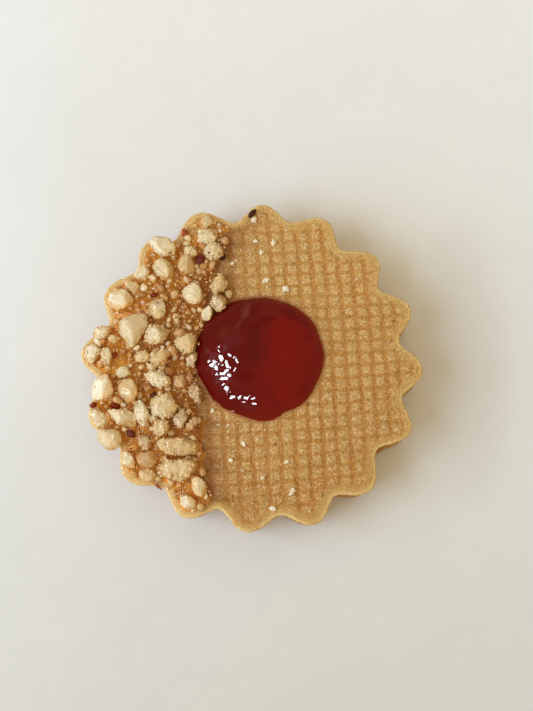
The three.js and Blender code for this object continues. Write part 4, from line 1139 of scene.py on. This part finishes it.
def film_height(x, y, edge):
    """Thickness of the glaze over the biscuit; below nought there is none."""
    inside = smooth(-0.6, 1.6, glaze_border(y) + 1.1 * np.exp(-((y + 14) / 5) ** 2) - x)
    rim = smooth(0.8, 2.0, edge + 0.3 * noise(flat(x, y, 0.6), 81))
    t = 0.27 + 0.12 * noise(flat(x, y, 0.32), 82) + 0.07 * noise(flat(x, y, 0.95), 83)
    return inside * rim * t


def glaze_and_nuts():
    rng = np.random.default_rng(20)
    piles = {k: Pile() for k in ("pale", "cream", "golden", "glazed", "bits")}
    group = {"A": "pale", "B": "pale", "C": "cream", "D": "cream", "E": "glazed", "F": "golden", "G": "glazed",
             "H": "glazed", "I": "glazed", "J": "glazed", "K": "golden"}
    spots = []                      # x, y, plan radius by direction, height
    skins = Pile()
    base = TOP + 0.12
    for x, y, tone, height, marks, first, reaches in NUTS + SKINS:
        zc = base + 0.42 * height
        place = standing(x, y, zc - TOP)
        poly = corners(reaches, first) * (1 - (zc - TOP) / (EYE[2] - TOP))
        span = float(np.ptp(poly, axis=0).max())
        rad = plan_radius(poly, soften=0.8)
        if "x" in marks:
            p, f, tone_at = lump(rng, rad, height, level_for(span), 0.9, 3, 0.25, 0.4, 0.10)
        elif "r" in marks:
            p, f, tone_at = lump(rng, rad, height, level_for(span), 1.5, 3, 0.05, 0.38, 0.40 * min(1, span / 3))
        elif "s" in marks:
            p, f, tone_at = lump(rng, rad, height, level_for(span), 0.7, 6, 0.06, 0.27, 0.19 * min(1, span / 2.5))
        else:
            p, f, tone_at = lump(rng, rad, height, level_for(span), 1.0, 6, 0.08, 0.28, 0.30 * min(1, span / 2.5))
        p[:, :2] += place
        p[:, 2] += zc
        spots.append((place[0], place[1], rad, height))
        if "x" in marks:
            skins.add(p, f, np.tile(paint(*tone) * np.array([1.35, 1.0, 0.55]), (len(p), 1)))
            continue
        c = np.tile(paint(*TONES[tone]) * NUT_GAIN, (len(p), 1))
        # mottled: warmer on the old outside, paler on the fresh fracture, amber where it sits in glaze
        warm = smooth(-0.25, 0.5, fbm(p * 0.6 + 3, 3, 91))
        c = mix(c, c * np.array([0.96, 0.83, 0.60]), 0.5 * warm)
        c = mix(c, np.minimum(c * np.array([1.10, 1.13, 1.22]), 0.95), 0.6 * smooth(0.1, 0.5, fbm(p * 0.8 + 31, 3, 93)))
        # painted shade and light: darker and amber where the tone is low, in the cracks and at the border, paler where
        # it is high
        c = mix(c, c * np.array([0.96, 0.74, 0.42]), np.clip(-tone_at, 0, 1) * 0.7)
        c = mix(c, np.minimum(c * np.array([1.07, 1.11, 1.24]), 0.95), np.clip(tone_at, 0, 1) * 0.7)
        low = 1 - smooth(0.0, min(1.1, 0.6 * height) + 0.2, p[:, 2] - base + 0.15 * noise(p * 1.3, 92))
        c = mix(c, c * np.array([0.95, 0.66, 0.28]), 0.8 * low)
        # painted glow: on the side away from the window the thin edges are painted warmer, for the amber light shining
        # through them
        side = (p[:, 0] - place[0]) * 0.8 - (p[:, 1] - place[1]) * 0.5
        c = mix(c, c * np.array([1.04, 0.91, 0.60]), 0.7 * smooth(0.1, 0.9, side / max(0.5 * span, 0.3)))
        piles[group[tone]].add(p, f, c)
        # splinters and flakes all over the rougher pieces
        count = int(span * (5 if "r" in marks else 1.4 if "s" in marks else 3.2)) if span > 0.8 else 0
        high = np.flatnonzero(p[:, 2] > base + 0.2 * height)
        for i in high[rng.integers(0, len(high), count)]:
            size = float(rng.uniform(0.5, 1.5 if "r" in marks else 1.0 if "s" in marks else 1.2)) * min(1, 0.4 + 0.25 * span)
            q, g, t = shard(rng, size, size * rng.uniform(0.35, 0.75), size * 0.38)
            out = p[i] - np.array([place[0], place[1], zc])
            q = q + p[i] - 0.12 * size * out / np.linalg.norm(out)
            q[:, 2] = np.minimum(q[:, 2], zc + 0.62 * height)
            shade = (1.0 + 0.07 * t)[:, None] * rng.uniform(0.94, 1.22)
            tint = mix(c[i], paint(*TONES[tone]) * NUT_GAIN, 0.5)
            piles[group[tone]].add(q, g, np.minimum(tint * shade, 0.95))
    # small broken chips sunk in the glaze wherever there is room
    tries = placed = 0
    while placed < 380 and tries < 14000:
        tries += 1
        r, a = 33 * math.sqrt(rng.uniform(0.03, 1)), math.radians(rng.uniform(100, 256))
        x, y = r * math.cos(a), r * math.sin(a)
        edge = float(outline_radius(np.array([math.degrees(a) % 360]))[0]) - r
        if edge < 1.4 or x > glaze_border(np.array([y]))[0] - 0.3:
            continue
        size = 0.4 + 1.4 * rng.uniform() ** 1.5
        gap = min(math.hypot(x - s[0], y - s[1]) - 0.95 * float(s[2].mean()) for s in spots)
        if gap < size * 0.30:
            continue
        height = size * 0.7
        if size < 1.05:
            p, f, tone_at = shard(rng, size, size * rng.uniform(0.5, 0.9), height)
        else:
            p, f, tone_at = lump(rng, plan_radius(random_poly(rng, size, size * rng.uniform(0.45, 0.9)), soften=0.4), height,
                                 3, 0.8, 4, 0.25, 0.24, 0.18, 0.8)
        p = turn_z(p, rng.uniform(0, 6.28)) + np.array([x, y, TOP + 0.16 + 0.22 * height])
        tone = CHIPS[int(rng.integers(0, len(CHIPS)))]
        c = paint(*tone) * ((1 + rng.uniform(-0.08, 0.08)) * (1 + 0.14 * tone_at))[:, None]
        piles["glazed" if size > 0.7 else "bits"].add(p, f, c)
        spots.append((x, y, np.full(240, size / 2), height * 0.5))
        placed += 1
    # and the finest grit between them, all but covered by the glaze
    tries = placed = 0
    while placed < 620 and tries < 9000:
        tries += 1
        r, a = 33 * math.sqrt(rng.uniform(0.03, 1)), math.radians(rng.uniform(100, 256))
        x, y = r * math.cos(a), r * math.sin(a)
        edge = float(outline_radius(np.array([math.degrees(a) % 360]))[0]) - r
        if edge < 1.3 or x > glaze_border(np.array([y]))[0] - 0.1:
            continue
        if min(math.hypot(x - s[0], y - s[1]) - float(s[2].mean()) for s in spots) < 0.06:
            continue
        size = float(rng.uniform(0.3, 0.62))
        p, f, tone_at = shard(rng, size, size * rng.uniform(0.5, 0.9), size * 0.6)
        p = p + np.array([x, y, TOP + 0.22 + 0.1 * size])
        c = paint(*CHIPS[int(rng.integers(0, len(CHIPS)))]) * (1 + 0.10 * tone_at)[:, None]
        piles["bits"].add(p, f, np.minimum(c, 0.95))
        placed += 1
    piles["pale"].done("nut_pieces_pale", nut_material("nut_flesh_pale", 0.44, 0.12, 1.1, 0.0), "glazed_nuts", False)
    piles["cream"].done("nut_pieces_cream", nut_material("nut_flesh_cream", 0.42, 0.15, 1.2, 0.0), "glazed_nuts", False)
    piles["golden"].done("nut_pieces_golden", nut_material("nut_flesh_golden", 0.38, 0.22, 1.1, 0.0), "glazed_nuts", False)
    glazed = nut_material("nut_flesh_glazed", 0.34, 0.3, 1.0, 0.0)
    piles["glazed"].done("nut_pieces_glazed", glazed, "glazed_nuts", False)
    piles["bits"].done("nut_chips_glazed", glazed, "glazed_nuts", False)

    for x, y, length, width, deg, rgb in BITS:
        on_nut = length < 0.55
        height = 0.5 * width + 0.25
        zc = TOP + (2.0 if on_nut else 1.2 if x < -5 else 0.10)
        place = standing(x, y, zc - TOP)
        p, f, tone_at = lump(rng, plan_radius(random_poly(rng, length, width), soften=1.2), height, level_for(length), 1.0, 2, 0.25, 0.4)
        p = turn_z(p, math.radians(deg))
        p[:, :2] += place
        p[:, 2] += zc
        skins.add(p, f, np.tile(paint(*rgb), (len(p), 1)))
    skins.done("nut_skins", skin_material("nut_skin_brown"), "glazed_nuts")

    # loose crumbs on the bare biscuit
    crumbs = Pile()

    def crumb(x, y, length, width, deg, rgb):
        height = 0.55 * width + 0.12
        place = standing(x, y, 0.3 * height)
        e = edge_distance(np.array([place[0]]), np.array([place[1]]), OUT)
        z = biscuit_top(np.array([place[0]]), np.array([place[1]]), e)[0]
        turn = math.radians(deg)
        pieces = [(0.0, 0.0, length, width)]
        if length > 0.45:
            pieces = [(rng.uniform(-0.32, 0.32) * length, rng.uniform(-0.3, 0.3) * width, max(0.3, length * rng.uniform(0.35, 0.6)),
                       max(0.25, width * rng.uniform(0.35, 0.65))) for _ in range(int(3 + 4 * length))]
        if length > 0.75:
            p, f, tone_at = lump(rng, plan_radius(random_poly(rng, 0.9 * length, 0.9 * width), soften=0.8), height, 3, 0.8, 4, 0.2,
                                 0.3, 0.12, 0.8)
            p = turn_z(p, turn) + np.array([place[0], place[1], z + 0.3 * height])
            crumbs.add(p, f, np.minimum(paint(*rgb) * (1 + 0.05 * tone_at)[:, None], 0.95))
        for dx, dy, l, w in pieces:
            p, f, tone_at = shard(rng, l, w, min(height, 0.8 * w + 0.1))
            p = turn_z(p + np.array([dx, dy, 0.2 * w]), turn)
            p[:, :2] += place
            p[:, 2] += z + rng.uniform(0.05, 0.25) * height
            shade = (1 + 0.06 * tone_at)[:, None] * rng.uniform(0.88, 1.1)
            crumbs.add(p, f, np.minimum(paint(*rgb) * shade, 0.95))

    for x, y, length, width, deg in CRUMBS:
        crumb(x, y, length, width, deg, (236, 220, 186))
    for i in range(90):
        zone = rng.uniform()
        if zone < 0.42:
            x, y = rng.normal(0.5, 5.5), rng.normal(-18, 4.5)
        elif zone < 0.72:
            x, y = rng.normal(0.0, 4.2), rng.normal(21, 4.5)
        else:
            a, r = rng.uniform(-1.4, 1.5), rng.uniform(14.5, 31)
            x, y = r * math.cos(a), r * math.sin(a)
        e = outline_radius(np.array([math.degrees(math.atan2(y, x)) % 360]))[0] - math.hypot(x, y)
        dj = math.hypot(x - JAM_CENTRE[0], y - JAM_CENTRE[1]) - 13
        if e < 1.5 or dj < 0 or x < glaze_border(np.array([y]))[0] + 0.5:
            continue
        s = float(rng.uniform(0.15, 0.36))
        crumb(x, y, s, s * rng.uniform(0.5, 0.9), rng.uniform(0, 180), (224, 194, 146))
    crumbs.done("nut_crumbs", nut_material("nut_crumb_cream", 0.6, 0.0, 0.7, 0.0), "glazed_nuts", False)

    # the glaze film: a sheet of varying thickness whose edges run out under the biscuit's surface
    step = 0.22
    xs, ys = np.arange(-32.8, -4.0, step), np.arange(-30.6, 31.4, step)
    gx, gy = np.meshgrid(xs, ys, indexing="ij")
    x, y = gx.ravel(), gy.ravel()
    edge = edge_distance(x, y, OUT)
    film = film_height(x, y, np.maximum(edge, 0))
    have = smooth(0.02, 0.12, film)
    near = np.zeros(len(x))
    for sx, sy, rad, h in spots:
        du, dv = x - sx, y - sy
        d = np.hypot(du, dv) - np.interp(np.mod(np.arctan2(dv, du), 2 * np.pi) * 240 / (2 * np.pi), np.arange(241), np.append(rad, rad[0]))
        m = np.exp(-np.maximum(d, 0) ** 2 / 0.10) * min(1.0, h / 1.6)
        near = np.maximum(near, m)
    top = biscuit_top(x, y, np.maximum(edge, EDGE))
    z = top + film - 0.10 + 0.50 * near * have
    keep = (edge > 0.95) & (film > 0.005)
    idx = -np.ones(len(x), int)
    ok = keep.reshape(gx.shape)
    quad = ok[:-1, :-1] & ok[1:, :-1] & ok[1:, 1:] & ok[:-1, 1:]
    i, j = np.nonzero(quad)
    W = gx.shape[1]
    q = np.stack([i * W + j, (i + 1) * W + j, (i + 1) * W + j + 1, i * W + j + 1], -1)
    used = np.unique(q)
    idx[used] = np.arange(len(used))
    q = idx[q]
    n = len(used)
    upper = np.column_stack([x[used], y[used], z[used]])
    lower = np.column_stack([x[used], y[used], np.full(n, 8.25)])
    # the border's own edges, walled down to the buried underside
    e = np.concatenate([q[:, [0, 1]], q[:, [1, 2]], q[:, [2, 3]], q[:, [3, 0]]])
    key = e[:, 0].astype(np.int64) * n + e[:, 1]
    rev = e[:, 1].astype(np.int64) * n + e[:, 0]
    rim = e[~np.isin(key, rev)]
    wall = np.stack([rim[:, 1], rim[:, 0], rim[:, 0] + n, rim[:, 1] + n], -1)
    v = np.concatenate([upper, lower])
    xx, yy = v[:, 0], v[:, 1]
    r = np.hypot(xx, yy)
    c = mix(np.tile(paint(*AMBER_IN), (len(v), 1)), paint(*AMBER_OUT), smooth(17, 28.5, r + 1.5 * noise(flat(xx, yy, 0.25), 86)))
    c = mix(c, c * np.array([0.74, 0.62, 0.5]), 0.85 * smooth(-0.05, 0.5, noise(flat(xx, yy, 0.42), 84) + 0.4 * noise(flat(xx, yy, 1.1), 87)))
    c = mix(c, c * np.array([1.22, 1.30, 1.28]), 0.8 * smooth(0.0, 0.55, noise(flat(xx, yy, 0.7), 85) + 0.4 * noise(flat(xx, yy, 1.6), 88)))
    for ax, ay, ar, rgb in POOLS:
        c = mix(c, paint(*rgb), 0.85 * np.exp(-(((xx - ax) ** 2 + (yy - ay) ** 2) / ar ** 2) ** 2))
    c = np.minimum(c * np.array([1.10, 1.03, 0.66]), 0.95)
    nn = np.concatenate([near[used], near[used]])
    c = mix(c, c * np.array([1.1, 1.1, 1.2]), 0.35 * nn)
    film_ob = build("glaze_film", v, [np.concatenate([q, q[:, ::-1] + n]), wall], c, None, glaze_material("amber_glaze"))
    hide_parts("nut_crescent")
    return film_ob


upper_biscuit()
lower_biscuit()
filling()
jam_drop()
glaze_and_nuts()

# ------------------------------------------------------------------ floor, light, camera
def floor():
    me = bpy.data.meshes.new("paper")
    n = 90
    s = np.linspace(-0.55, 0.55, n)
    gx, gy = np.meshgrid(s, s, indexing="ij")
    x, y = gx.ravel() * 1000, gy.ravel() * 1000
    z = np.full(len(x), -0.00002)
    i, j = np.meshgrid(np.arange(n - 1), np.arange(n - 1), indexing="ij")
    i, j = i.ravel(), j.ravel()
    q = np.stack([i * n + j, (i + 1) * n + j, (i + 1) * n + j + 1, i * n + j + 1], -1)
    me.from_pydata(np.column_stack([gx.ravel(), gy.ravel(), z]).tolist(), [], q.tolist())
    ob = bpy.data.objects.new("paper", me)
    bpy.context.scene.collection.objects.link(ob)
    m, nt, bsdf = nodes_of("pale_paper")
    fold = math_node(nt, "MULTIPLY", remap(nt, noise_node(nt, 16, 3.0, 0.5, 0.8), 0.3, 0.7, 0.975, 1.02),
                     remap(nt, noise_node(nt, 130, 5.0, 0.75), 0.3, 0.7, 0.985, 1.015))
    comb = nt.nodes.new("ShaderNodeCombineColor")
    for i in range(3):
        nt.links.new(fold, comb.inputs[i])
    # painted light: the paper is painted a little brighter towards the top and the right, as the light falls off across
    # it
    co = nt.nodes.get("co")
    sep = nt.nodes.new("ShaderNodeSeparateXYZ")
    nt.links.new(co.outputs["Object"], sep.inputs[0])
    painted_falloff = math_node(nt, "MULTIPLY", remap(nt, sep.outputs[1], -0.10, 0.10, 0.86, 1.12), remap(nt, sep.outputs[0], -0.06, 0.06, 0.975, 1.02))
    gain = nt.nodes.new("ShaderNodeCombineColor")
    east = remap(nt, sep.outputs[0], -0.07, 0.07, -1.4, 1.4)
    north = remap(nt, sep.outputs[1], -0.08, 0.08, -1.6, 1.6)
    far = math_node(nt, "MULTIPLY", east, east)
    for i, (base, a, b, c) in enumerate(((0.865, 0.022, 0.022, 0.010), (0.858, 0.033, 0.036, 0.018), (0.835, 0.055, 0.055, 0.030))):
        tone = math_node(nt, "ADD", math_node(nt, "MULTIPLY", north, a * base),
                         math_node(nt, "ADD", math_node(nt, "MULTIPLY", far, b * base), math_node(nt, "MULTIPLY", east, c * base)))
        nt.links.new(math_node(nt, "MULTIPLY", painted_falloff, math_node(nt, "ADD", tone, base)), gain.inputs[i])
    paper = mix_colour(nt, 1.0, gain.outputs[0], comb.outputs[0], "MULTIPLY")
    # painted shadow: the paper is painted a little darker beyond the cookie's right side, where the room's own light is
    # kept off too
    dx = remap(nt, sep.outputs[0], 0.0325, 0.0545, -1.0, 1.0)
    dy = remap(nt, sep.outputs[1], -0.030, 0.038, -1.0, 1.0)
    away = math_node(nt, "ADD", math_node(nt, "MULTIPLY", dx, dx), math_node(nt, "MULTIPLY", dy, dy))
    painted_shadow = nt.nodes.new("ShaderNodeCombineColor")
    for i, low in enumerate((0.915, 0.895, 0.885)):
        nt.links.new(remap(nt, away, 0.0, 1.0, low, 1.0), painted_shadow.inputs[i])
    nt.links.new(mix_colour(nt, 1.0, paper, painted_shadow.outputs[0], "MULTIPLY"), bsdf.inputs["Base Color"])
    bsdf.inputs["Roughness"].default_value = 0.8
    bsdf.inputs["Specular IOR Level"].default_value = 0.1
    me.materials.append(m)


def area_light(name, at, aim, size, power, colour, glossy, diffuse):
    data = bpy.data.lights.new(name, "AREA")
    data.shape = "SQUARE"
    data.size = size
    data.energy = power
    data.color = colour
    ob = bpy.data.objects.new(name, data)
    bpy.context.scene.collection.objects.link(ob)
    ob.location = Vector(at)
    ob.rotation_euler = (Vector(aim) - Vector(at)).to_track_quat("-Z", "Y").to_euler()
    ob.visible_glossy = glossy
    ob.visible_diffuse = diffuse
    ob.visible_camera = False
    return ob


floor()
middle = np.array([0.0, 0.0, 0.006])
area_light("key", middle + 0.45 * KEY_DIR, middle, 0.36, 1.45, (0.82, 1.07, 1.42), False, True)
area_light("window", (WINDOW_AT + SHIFT) / 1000, (np.array([*JAM_CENTRE, 11.0]) + SHIFT) / 1000, 0.085, 1.9, (0.84, 0.93, 1.0), True, False)

area_light("window_glow", (WINDOW_AT + SHIFT) / 1000, (np.array([*JAM_CENTRE, 11.0]) + SHIFT) / 1000, 0.32, 0.42, (0.80, 0.84, 1.0), True, False)

world = bpy.data.worlds.new("room")
bpy.context.scene.world = world
world.use_nodes = True
bg = world.node_tree.nodes["Background"]
bg.inputs[0].default_value = (0.610, 0.510, 0.335, 1.0)
bg.inputs[1].default_value = 1.0

cam = bpy.data.cameras.new("camera")
cam.lens = 50.63
cam.sensor_width = 36
cam.clip_start, cam.clip_end = 0.01, 10
cam_ob = bpy.data.objects.new("camera", cam)
bpy.context.scene.collection.objects.link(cam_ob)
cam_ob.matrix_world = Matrix.Translation(Vector((EYE + SHIFT) / 1000)) @ Matrix.Rotation(math.radians(13), 4, Vector((0.9925, -0.1219, 0)))
bpy.context.scene.camera = cam_ob

bpy.context.scene.view_settings.view_transform = "Standard"
bpy.context.scene.view_settings.look = "None"
